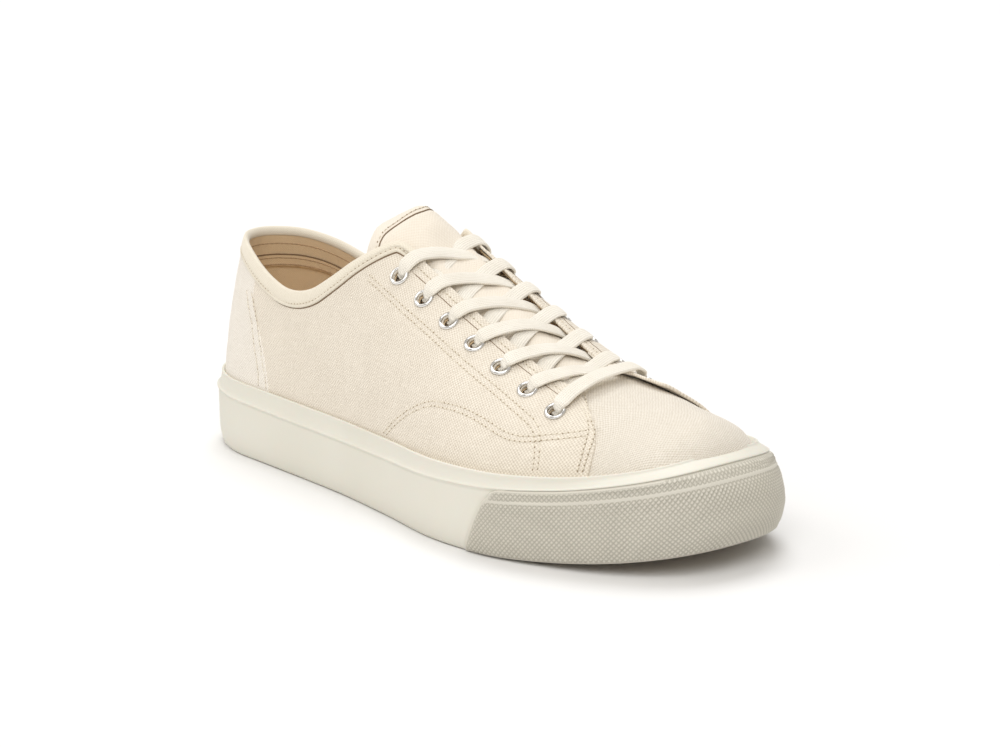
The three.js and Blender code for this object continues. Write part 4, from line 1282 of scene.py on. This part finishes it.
def foxing_rows(x, t, side):
    toe = toe_share(x)
    foot, bead, top = spring(x) + FOOT_LIFT, bead_height(x), sole_height(x)
    rim = FOXING_RIM + TOE_TUCK * toe
    wobble = 0.12 * waves(np.stack([*plan(t, side, 0.0), 0 * x], -1), 40, 11)

    def inset(share):
        return wall_inset(share, x)

    def up(share):
        return foot + (bead - foot) * share

    rows = [(rim, foot + 0.4), (inset(0) + 1.6, foot), (inset(0) + 0.8, foot + 0.05),
            (inset(0.03) + 0.2, foot + 0.45)]
    for share in (0.07, 0.14, 0.22, 0.3, 0.4, 0.5, 0.6, 0.7, 0.8, 0.88):
        rows.append((inset(share) + wobble * np.sin(np.pi * share), up(share)))
    side_of_bead, crest = inset(1) - BEAD_PROUD * 0.5, inset(1) - BEAD_PROUD * 1.35
    rows += [(inset(0.93) + 0.05, up(0.93)), (inset(0.96) + 0.15, up(0.96)), (side_of_bead, bead - 0.45),
             (crest, bead - 0.15), (crest, bead + 0.2), (side_of_bead, bead + 0.5),
             (inset(1) + 0.4, bead + 0.7)]
    start = inset(1) + 0.55
    end = BAND_TUCK + TOE_BAND_LEAN * toe - 0.3
    for k in (0.12, 0.3, 0.5, 0.7, 0.86):
        hollow = 0.5 * np.sin(np.pi * k)
        rows.append((start + (end - start) * k + hollow * 0.6, bead + 1.1 + (top - 0.7 - bead - 1.1) * k))
    rows += [(end, top - 0.6), (end + 0.1, top - 0.25), (end + 0.45, top), (end + 0.95, top - 0.1),
             (end + 1.3, top - 0.8), (rim + TOE_BAND_LEAN * toe * 0.9 + 0.3, top - 3.5),
             (rim + 0.2, FOOT_HEIGHT + spring(x) + 2.0), (rim, FOOT_HEIGHT + spring(x) - 0.3)]
    return rows


def bumper_start(z):
    """x where the bumper begins, at height z."""
    top = WALL_HEIGHT * 1.12
    zs = np.array([-5, 0, 0.52, 0.78, 0.98, 1.13, 1.35]) * np.array([1, 1, top, top, top, top, top])
    xs = BUMPER_START + BUMPER_SLANT * np.array([-0.1, 0, 0.33, 0.53, 0.8, 1.3, 2.6])
    return np.interp(z, zs, xs)


def peaks(k):
    """A row of peaks from 0 to 1, one at each step of 1."""
    return 1 - 2 * np.abs(k - np.floor(k) - 0.5)


def build_bumper():
    """The grip strip round the toe: small pyramids, a raised line and rows under the bead."""
    cell, height_steps, end_margin, gap = 0.42, 58, 3, 0.35
    fine = np.linspace(0, 1, 6000)
    (outer_x, outer_run), (inner_x, inner_run) = (outline_run(side, fine) for side in (OUTER, INNER))
    reach = [run[-1] - np.interp(BUMPER_START - end_margin, x, run)
             for x, run in ((outer_x, outer_run), (inner_x, inner_run))]
    counts = [int(r / cell) + 1 for r in reach]

    def t_at(u):
        """t at a distance from the toe's middle, negative on the outer side."""
        return np.where(u <= 0, np.interp(outer_run[-1] - np.abs(u), outer_run, fine),
                        np.interp(inner_run[-1] - np.abs(u), inner_run, fine))

    def low_and_high(x):
        return spring(x) + gap, bead_height(x) - gap

    # Each row is squeezed towards the toe, so that the strip starts along its slant.
    u = np.concatenate([-np.linspace(reach[0], 0, counts[0]), np.linspace(0, reach[1], counts[1])[1:]])
    U, S = np.meshgrid(u, np.linspace(0, 1, height_steps), indexing="ij")
    foot, bead = low_and_high(plan(t_at(u), np.where(u <= 0, OUTER, INNER), 0.0)[0])
    lean = bumper_start(foot[:, None] + (bead - foot)[:, None] * S) - (BUMPER_START - end_margin)
    end = np.where(U <= 0, reach[0], reach[1])
    U = U * (1 - lean / end)
    T, side = t_at(U), np.where(U <= 0, OUTER, INNER)
    X = plan(T, side, 0.0)[0]
    foot, bead = low_and_high(X)
    height = (bead - foot) * S
    below = bead - foot - height
    # Pyramids, the raised line and the rows above it
    diagonals = peaks((U + below) / GRIP_PITCH), peaks((U - below) / GRIP_PITCH)
    grip = np.where(below > GRIP_LINE + 0.9, 0.85 * np.minimum(*diagonals), 0)
    rows = np.minimum(peaks(U / 1.7), peaks((below - 0.7) / 1.25)) * 0.7
    grip = np.where((below > 0.7) & (below < GRIP_LINE - 0.75), rows, grip)
    grip += 0.45 * np.exp(-((below - GRIP_LINE) / 0.38) ** 2)
    # The plain rim along the strip's start, and its rounded edges
    from_end = np.minimum(np.abs(np.abs(U) - end + lean), 50)
    rim = 0.4 * np.exp(-((from_end - 0.9) / 0.5) ** 2)
    fade = clamp((from_end - 1.6) / 0.8) * clamp(height / 0.8) * clamp(below / 0.6)
    wall = wall_inset(S, X) - BUMPER_PROUD
    out = wall - grip * fade - rim * clamp(below / 0.8)
    out = out + 0.8 * clamp(1 - height / 1.6) ** 2 + 0.6 * clamp(1 - below) ** 2
    out = out + 0.7 * clamp(1 - from_end) ** 2
    faces_at = [np.stack([*plan(T, side, inset), foot + height], -1).reshape(-1, 3)
                for inset in (out, wall + BUMPER_DEPTH)]
    # Plain parts take v on the raised line, so the material paints them at its light tone, without the
    # painted shade of the hollows.
    plain = (from_end < 1.5) | (height < 0.7) | (below < 0.5)
    uv = np.tile(np.stack([U, np.where(plain, GRIP_LINE, below)], -1).reshape(-1, 2), (2, 1))
    make("bumper_grip", np.vstack(faces_at), slab_faces(*U.shape), BUMPER_RUBBER, uv, ("toe_bumper",),
         "bumper_rubber")


def carved_rows(x, t, side):
    """The rubber wall's section, with the pocket that the bumper lies in."""
    out = []
    low, high = spring(x) + 0.3, bead_height(x) - 0.3
    for inset, z in foxing_rows(x, t, side):
        inside = clamp((x - bumper_start(z) + 0.2) / 0.8)
        within = clamp((z - low) / 0.3) * clamp((high - z) / 0.3)
        pocket = wall_inset(clamp((z - low) / (high - low)), x) - BUMPER_PROUD + BUMPER_DEPTH + 0.25
        out.append((inset + (np.maximum(inset, pocket) - inset) * inside * within, z))
    return out


def build_sole():
    band("foxing_wall", carved_rows, 360, WALL_RUBBER, ("foxing",), "foxing_rubber")
    build_bumper()
    build_tread()


def build_tread():
    """The bottom: cross grooves under heel and ball and a fine wave between them."""
    stations, across = 300, 84
    xs = np.linspace(5.2, 278.8, stations)
    fine = np.linspace(0, 1, 3000)
    plate = FOXING_RIM + TOE_TUCK * toe_share(share_at(fine) * LENGTH) + 0.3
    edges = []
    for side in (OUTER, INNER):
        x, y = plan(fine, side, plate)
        edges.append(np.interp(xs, np.maximum.accumulate(x), y))
    low, high = edges
    for end in (0, -1):
        low[end] = high[end] = (low[end] + high[end]) / 2
    X = np.repeat(xs[:, None], across, 1)
    Y = low[:, None] + (high - low)[:, None] * np.linspace(0, 1, across)
    arch = ARCH_RISE * clamp(1 - np.abs(X / LENGTH - 0.46) / 0.12) ** 0.7
    from_edge = np.minimum(Y - low[:, None], high[:, None] - Y)
    groove = np.zeros_like(X)
    for a, b in ((0.07, 0.3), (0.6, 0.9)):
        for g in np.arange(a * LENGTH, b * LENGTH, GROOVE_PITCH):
            groove = np.maximum(groove, clamp((GROOVE_WIDTH / 2 + 0.35 - np.abs(X - g)) / 0.7))
    groove *= clamp(from_edge - GROOVE_EDGE + 1.0)
    zigzag = 2.2 * np.abs((Y / 9.0) % 2 - 1)
    ridges = 0.5 * np.abs((X + zigzag) / 2.4 % 1 - 0.5)
    Z = spring(X) + arch + GROOVE_DEPTH * groove + ridges * clamp((from_edge - 3) / 1.5) * (1 - groove)
    top = FOOT_HEIGHT + spring(X) - 0.3
    points = np.vstack([np.stack([X, Y, z], -1).reshape(-1, 3) for z in (Z, top)])
    kept, faces = welded(points, slab_faces(stations, across, ends=False, flip=True), reach=0.01)
    make("tread", points[kept], faces, TREAD_RUBBER, None, ("outsole",), "outsole_rubber")


def build_insole():
    fine = np.linspace(0.0, 1, 160)
    edge = BASE_TUCK + WALL + 0.4 + TOE_TUCK * toe_share(share_at(fine) * LENGTH)
    sides = []
    for side in (OUTER, INNER):
        rings = []
        for z, tuck in ((0.3, 0.0), (3.2, 0.0), (3.9, 0.4), (4.15, 1.6)):
            x, y = plan(fine, side, edge + tuck)
            rings.append(np.stack([x, y, FOOT_HEIGHT + spring(x) + z], -1))
        sides.append(rings)
    outer, inner = sides
    top = []
    for k in np.linspace(0.06, 0.94, 22):
        p = outer[-1] * (1 - k) + inner[-1] * k
        dish = 1.6 * np.sin(np.pi * k) * clamp(1 - np.abs(p[:, 0] / LENGTH - 0.13) / 0.22)
        p[:, 2] += 0.25 * np.sin(np.pi * k) - dish + 0.12 * waves(p, 30, 9)
        top.append(p)
    grid = np.stack(outer + top + inner[::-1], 1)
    points = grid.reshape(-1, 3)
    kept, faces = welded(points, ring_faces(*grid.shape[:2], caps=False, flip=True), reach=0.05)
    points = points[kept]
    make("insole_sock", points, faces, SOCK_CLOTH, points[:, :2], ("insole",), "insole_cloth")


# Eyelets
EYELET_PITCH = (EYELET_FRONT - EYELET_BACK) / (EYELETS - 1)


def eyelet_places():
    places = []
    for side in (OUTER, INNER):
        for i in range(EYELETS):
            x = EYELET_BACK + i * EYELET_PITCH
            y = float(throat_middle(x)) + side * EYELET_HALF
            t, s = above_ts(np.array([x]), np.array([y]))
            normal = normals_at(t, s, CANVAS)[0]
            places.append((side, i + 1, skin(t, s, CANVAS)[0], normal))
    return places


PLACES = eyelet_places()
RING = [
    (2.75, -2.0), (2.7, -1.0), (2.7, 0.1), (2.8, 0.5), (3.05, 0.72), (3.4, 0.78), (3.75, 0.62), (4.0, 0.32),
    (4.1, 0.08), (4.0, 0.0), (3.3, 0.0), (3.15, -0.3), (3.15, -2.0), (3.9, -2.1), (3.9, -2.35),
    (2.9, -2.35)]  # radius, height over the cloth
INNER_RING_FLATNESS = 0.35


def build_eyelets():
    around = 56
    for side, number, centre, normal in PLACES:
        ahead = np.array([1.0, 0, 0]) - normal * normal[0]
        ahead /= np.linalg.norm(ahead)
        across = np.cross(normal, ahead)
        points = []
        tilt = RNG.normal(0, 0.02)
        for k in range(around):
            turn = 2 * math.pi * k / around
            d = ahead * math.cos(turn) + across * math.sin(turn)
            for r, z in RING:
                z = z * INNER_RING_FLATNESS if side == INNER and z > 0 else z
                points.append(centre + d * r + normal * (z + 0.1 + tilt * r * math.cos(turn)))
        name = f"{'outer' if side == OUTER else 'inner'}_{number}"
        faces = ring_faces(around, len(RING), closed=True, flip=True)
        make("ring_" + name, np.array(points), faces, NICKEL, None, ("eyelet_" + name,), "eyelet_metal")


# Tongue
def tongue_half(x):
    along = (x - TONGUE_BACK) / (TONGUE_FRONT - TONGUE_BACK)
    rounding = clamp((x - TONGUE_BACK) / TONGUE_ROUND)
    rounded = np.maximum(1 - (1 - rounding) ** TONGUE_SQUARE, 0) ** (1 / TONGUE_SQUARE)
    return (TONGUE_HALF - TONGUE_TAPER * along) * rounded


def lace_sag(x):
    """The lace presses the tongue down where it crosses, most at the ankle end."""
    return 4.4 * smooth((x - 126) / 12) * (1 - smooth((x - 146) / 36))


def tongue_bend(x, across):
    """How far the tip falls below the last's line: its middle curls down, its corners less."""
    curl_start, curl_end, curl, fall = 121, 113.5, 0.0585, 0.88
    corner = TONGUE_BEND * clamp((TONGUE_BACK + TONGUE_ROUND - x) / TONGUE_ROUND) ** 2
    middle = curl * clamp(curl_start - x, 0, curl_start - curl_end) ** 2 + fall * clamp(curl_end - x, 0, 20)
    weight = np.cos((np.pi / 2) * clamp(across / 18, -1, 1)) ** 2
    return corner + (middle - corner) * weight


def tongue_off(x, y):
    across = y - throat_middle(x)
    bulge = np.cos((np.pi / 2) * clamp(across / 12.2, -1, 1)) ** 2
    flank = 2.8 * clamp((np.abs(across) - throat_half(x) + 3.0) / 5.0) * clamp((x - 125) / 10)
    fade = clamp((THROAT_FRONT - 8 - x) / 20)
    return TONGUE_LIFT * bulge * fade - WALL - 0.6 - tongue_bend(x, across) - flank - lace_sag(x) * bulge


def tongue_surface(x, y, extra):
    t, s = above_ts(x, y)
    wave = 0.3 * waves(skin(t, s), 26, 21)
    return skin(t, s, tongue_off(x, y) + extra + wave)


BINDING_HALF = [
    (150, 21.5), (135, 22), (120, 21.8), (113.6, 20.6), (112.4, 17), (114.3, 13.2), (116.6, 9), (119, 4.5)]
BINDING_TIP = (120.2, 0)  # x, and the distance from the tongue's middle


def binding_path(count, outside=0.0):
    """x and y along the edge of the tongue's binding, from the outer side over the tip to the inner side."""
    path = [(x, -y) for x, y in BINDING_HALF] + [BINDING_TIP] + BINDING_HALF[::-1]
    path = shifted(smooth_path(path, count), outside)
    return path[:, 0], path[:, 1] + throat_middle(path[:, 0])


def build_tongue():
    m, n = 130, 65
    along = np.linspace(0, 1, m) ** 1.4
    across = np.sin(np.linspace(-1, 1, n) * math.pi / 2 * 0.96) / math.sin(math.pi / 2 * 0.96)
    A, C = np.meshgrid(along, across, indexing="ij")
    X = TONGUE_BACK + (TONGUE_FRONT - TONGUE_BACK) * A
    Y = throat_middle(X) + tongue_half(X) * C
    bx, by = binding_path(400)
    ex, ey = X[:, [0, -1]].T.ravel(), Y[:, [0, -1]].T.ravel()

    def distance(px, py):
        return np.array([np.hypot(x[:, None] - px, y[:, None] - py).min(1) for x, y in zip(X, Y)])

    edge, bound = distance(ex, ey), distance(bx, by)
    groove = -0.5 * np.exp(-(bound / 0.7) ** 2)
    thick = 1.7 * np.sqrt(clamp(1 - (1 - clamp(edge / 1.6)) ** 2)) + 0.02
    top = tongue_surface(X, Y, groove - 0.2)
    low = tongue_surface(X, Y, -0.2 - thick)
    points = np.vstack([top.reshape(-1, 3), low.reshape(-1, 3)])
    kept, faces = welded(points, slab_faces(m, n), reach=0.02)
    points = points[kept]
    make("tongue_cloth", points, faces, TONGUE_CLOTH, points[:, :2], ("tongue",), "canvas")
    # A dark cord of painted shadow in the groove along the tongue's binding.
    x, y = binding_path(160)
    t, s = above_ts(x, y)
    points, faces = tube(tongue_surface(x, y, -0.45), normals_at(t, s, 0.0), 0.28)
    make("tongue_groove_shadow", points, faces, FOLD_SHADOW, None, ("tongue",), "canvas")
    x, y = binding_path(56, 1.7)
    row = tongue_surface(x, y, -0.05)
    t, s = above_ts(x, y)
    along, across, out = frames_along(row, normals_at(t, s, 0.0))
    # Dark dots of painted shade at the needle holes along the binding.
    points, faces = scatter(pill(0.7, 0.5, 0.3), row, along, across, out)
    make("tongue_hole_shade", points, faces, HOLE_SHADE, None, ("tongue",), "canvas")
    middle = (row[1:] + row[:-1]) / 2 + 0.05 * out[:-1]
    points, faces = scatter(pill(1.5, 0.5, 0.42), middle, along[:-1], across[:-1], out[:-1], STITCH_TURN)
    make("tongue_stitches", points, faces, THREAD, None, ("tongue",), "canvas")


# Lace
STRAP_SLANT = 0.75  # how far a strap runs towards the toe, in eyelet steps
STRAP = [
    (0.0, 0.2), (0.025, 1.2), (0.055, 2.05), (0.09, 2.4), (0.15, 2.35), (0.22, 2.2), (0.36, 1.9), (0.5, 1.7),
    (0.65, 1.1), (0.8, 0.1), (0.92, -1.3), (1.0, -2.2)]  # share across, height above the last
BAR = [
    (0.0, 0.2), (0.015, 1.2), (0.035, 2.1), (0.07, 2.6), (0.16, 3.4), (0.27, 3.7), (0.4, 4.0), (0.55, 4.1),
    (0.7, 4.4), (0.84, 4.6), (0.93, 3.6), (0.965, 2.1), (0.985, 1.2), (1.0, 0.2)]
STRAP_SAG, INNER_SAG = 5.0, 1.35
HOLE_LACE_WIDTH, HOLE_LACE_THICK = 3.9, 1.9


def strap_points(i, side):
    """Points over one crossing, from its eyelet to the far facing's edge: x, y, height above the last."""
    sag = STRAP_SAG * max(0.0, 1 - i / 3.0)
    under = INNER_SAG if side == INNER else 0.0
    reach = EYELET_HALF - LACE_REACH
    out = []
    for across, height in STRAP:
        x = EYELET_BACK + i * EYELET_PITCH + STRAP_SLANT * EYELET_PITCH * across
        y = float(throat_middle(x)) + side * (reach + (-float(throat_half(x)) - 0.8 - reach) * across)
        past_edge = float(clamp((across - 0.17) / 0.83))
        low = sag * math.sin(math.pi * past_edge)
        low += under * math.sin(math.pi * clamp(across * 1.05, 0, 1)) ** 1.5
        out.append((x, y, height - low))
    return out


def lace_route():
    """The whole lace as x, y and height, from one top eyelet down to the bar and up to the other."""
    def inside(side, x, points):
        middle = float(throat_middle(x))
        return [(x + ahead, middle + side * (EYELET_HALF - back), height) for ahead, back, height in points]

    def strand(side):
        """From the bar's eyelet up to the top, as eyelet sides alternate."""
        path = []
        for i in range(EYELETS - 1, 0, -1):
            x = EYELET_BACK + i * EYELET_PITCH
            path += inside(side, x, ((-0.6, 1.6, -2.6), (-EYELET_PITCH * 0.12, 4.5, -3.0)))
            path += strap_points(i - 1, -side)[::-1]
            side = -side
        return path + inside(side, EYELET_BACK, ((-0.5, 1.2, -2.4), (1.0, 4.5, -2.9)))

    bar = []
    for across, height in BAR:
        y = float(throat_middle(EYELET_FRONT)) + (EYELET_HALF - LACE_REACH) * (2 * across - 1)
        bar.append((EYELET_FRONT + 0.8 * math.sin(math.pi * across), y, height))
    return strand(OUTER)[::-1] + bar + strand(INNER)


def build_lace():
    steps, sides, reach = 3400, 22, 30
    route = np.array(lace_route())
    t, s = above_ts(route[:, 0], route[:, 1])
    middle = skin(t, s, 0.0)
    normal = normals_at(t, s, 0.0)
    at = middle + normal * route[:, 2:3]
    # Where it goes through an eyelet it is bunched, and it widens again just above.
    holes = np.array([centre for _, _, centre, _ in PLACES])
    path = smooth_path(np.hstack([at, normal]), steps)
    centre, up = path[:, :3], path[:, 3:]
    near = np.linalg.norm(centre[:, None] - holes[None], axis=2).min(1)
    along = unit(np.gradient(centre, axis=0))
    # Turn the flat side smoothly where the lace goes down.
    across = np.cross(up, along)
    weight = np.linalg.norm(across, axis=1)
    across /= np.maximum(weight, 1e-6)[:, None]
    for k in range(1, len(across)):
        if (across[k] * across[k - 1]).sum() < 0:
            across[k] *= -1
    kernel = np.hanning(2 * reach + 1)
    kernel /= kernel.sum()
    weighted = np.pad(across * (weight[:, None] ** 2 + 0.02), ((reach, reach), (0, 0)), mode="edge")
    across = np.stack([np.convolve(weighted[:, k], kernel, "valid") for k in range(3)], -1)
    across -= along * (across * along).sum(1)[:, None]
    across /= np.maximum(np.linalg.norm(across, axis=1), 1e-6)[:, None]
    out = np.cross(along, across)
    run = run_along(centre)
    squeeze = smooth((near - 1.2) / 3.8)
    width = HOLE_LACE_WIDTH + (LACE_WIDTH - HOLE_LACE_WIDTH) * squeeze
    thick = HOLE_LACE_THICK + (LACE_THICK - HOLE_LACE_THICK) * squeeze
    ring = np.linspace(0, 2 * math.pi, sides, endpoint=False)
    flat_x = np.sign(np.cos(ring)) * np.abs(np.cos(ring)) ** 0.75
    flat_z = np.sign(np.sin(ring)) * np.abs(np.sin(ring)) ** 0.42
    cup = -0.08 * (flat_x ** 2 - 0.4)
    sideways = flat_x * width[:, None] / 2
    upwards = flat_z * thick[:, None] / 2 + cup * width[:, None] * 0.25
    points = centre[:, None] + across[:, None] * sideways[..., None] + out[:, None] * upwards[..., None]
    points = points.reshape(-1, 3)
    faces = ring_faces(len(centre), sides)
    uv = np.stack(np.broadcast_arrays(run[:, None], (flat_x[None, :] * LACE_WIDTH / 2)), -1).reshape(-1, 2)
    names = [f"lace_cross_{i}" for i in range(1, EYELETS)] + ["lace_bar"]
    make("lace", points, faces, LACE_CLOTH, uv, tuple(names), "lace_cotton")
    print("lace length mm", round(float(run[-1])), "triangles", len(faces) * 2)


# Scene
def build_floor():
    mesh = bpy.data.meshes.new("floor")
    size = 40.0
    corners = [(-size, -size, 0), (size, -size, 0), (size, size, 0), (-size, size, 0)]
    mesh.from_pydata(corners, [], [(0, 1, 2, 3)])
    obj = bpy.data.objects.new("floor", mesh)
    n = Nodes("paper")
    n.colour(n.spread(n.noise(3.0, 2.0)), (0.82, 0.82, 0.82), (0.84, 0.84, 0.84))
    n.set(Roughness=0.9, Specular_IOR_Level=0.1)
    mesh.materials.append(n.material)
    bpy.context.scene.collection.objects.link(obj)


CAMERA_ANGLES = (48.923, 13.652, -0.5915)  # azimuth, elevation and roll, in degrees
CAMERA_TARGET, CAMERA_DISTANCE = Vector((-0.0003, 0.00282, 0.040)), 0.95543
CAMERA_LENS, CAMERA_SHIFT = 87.589, (0.03099, 0.01763)


def build_camera():
    azimuth, elevation, roll = map(math.radians, CAMERA_ANGLES)
    level = Vector((math.sin(azimuth), -math.cos(azimuth), 0))
    back = level * math.cos(elevation) + Vector((0, 0, math.sin(elevation)))
    right = Vector((math.cos(azimuth), math.sin(azimuth), 0))
    up = back.cross(right)
    rolled_right = right * math.cos(roll) + up * math.sin(roll)
    rolled_up = up * math.cos(roll) - right * math.sin(roll)
    data = bpy.data.cameras.new("camera")
    data.lens, data.sensor_width = CAMERA_LENS, 36
    data.shift_x, data.shift_y = CAMERA_SHIFT
    data.clip_start, data.clip_end = 0.05, 50
    obj = bpy.data.objects.new("camera", data)
    rows = Matrix((rolled_right, rolled_up, back)).transposed().to_4x4()
    rows.translation = CAMERA_TARGET + back * CAMERA_DISTANCE
    obj.matrix_world = rows
    bpy.context.scene.collection.objects.link(obj)
    bpy.context.scene.camera = obj
    return right, back


def sun(name, direction, strength, spread, colour=(1, 1, 1)):
    data = bpy.data.lights.new(name, "SUN")
    data.energy = strength
    data.angle = math.radians(spread)
    data.color = colour
    obj = bpy.data.objects.new(name, data)
    obj.rotation_mode = "QUATERNION"
    obj.rotation_quaternion = (-Vector(direction)).to_track_quat("-Z", "Y")
    bpy.context.scene.collection.objects.link(obj)


def build_lights(right, back):
    world = bpy.data.worlds.new("studio")
    world.use_nodes = True
    colour, strength = world.node_tree.nodes["Background"].inputs[:2]
    colour.default_value = (1.0, 0.95, 0.89, 1)
    strength.default_value = 0.52
    bpy.context.scene.world = world
    level_back = Vector((back.x, back.y, 0)).normalized()
    high = Vector((0, 0, 1))
    sun("over", high * 1.0 - level_back * 0.42 + right * 0.05, 1.28, 32, (0.97, 0.985, 1.0))
    sun("fill", high * 1.0 + level_back * 0.8 - right * 0.1, 1.25, 45)
    sun("key", high * 0.8 - right * 1.0 + level_back * 0.05, 0.5, 40, (1.0, 0.985, 0.96))


build_lights(*build_camera())
build_floor()
build_upper()
build_tape()
build_stitches()
build_sole()
build_insole()
build_eyelets()
build_tongue()
build_lace()

bpy.context.scene.view_settings.view_transform = "Standard"
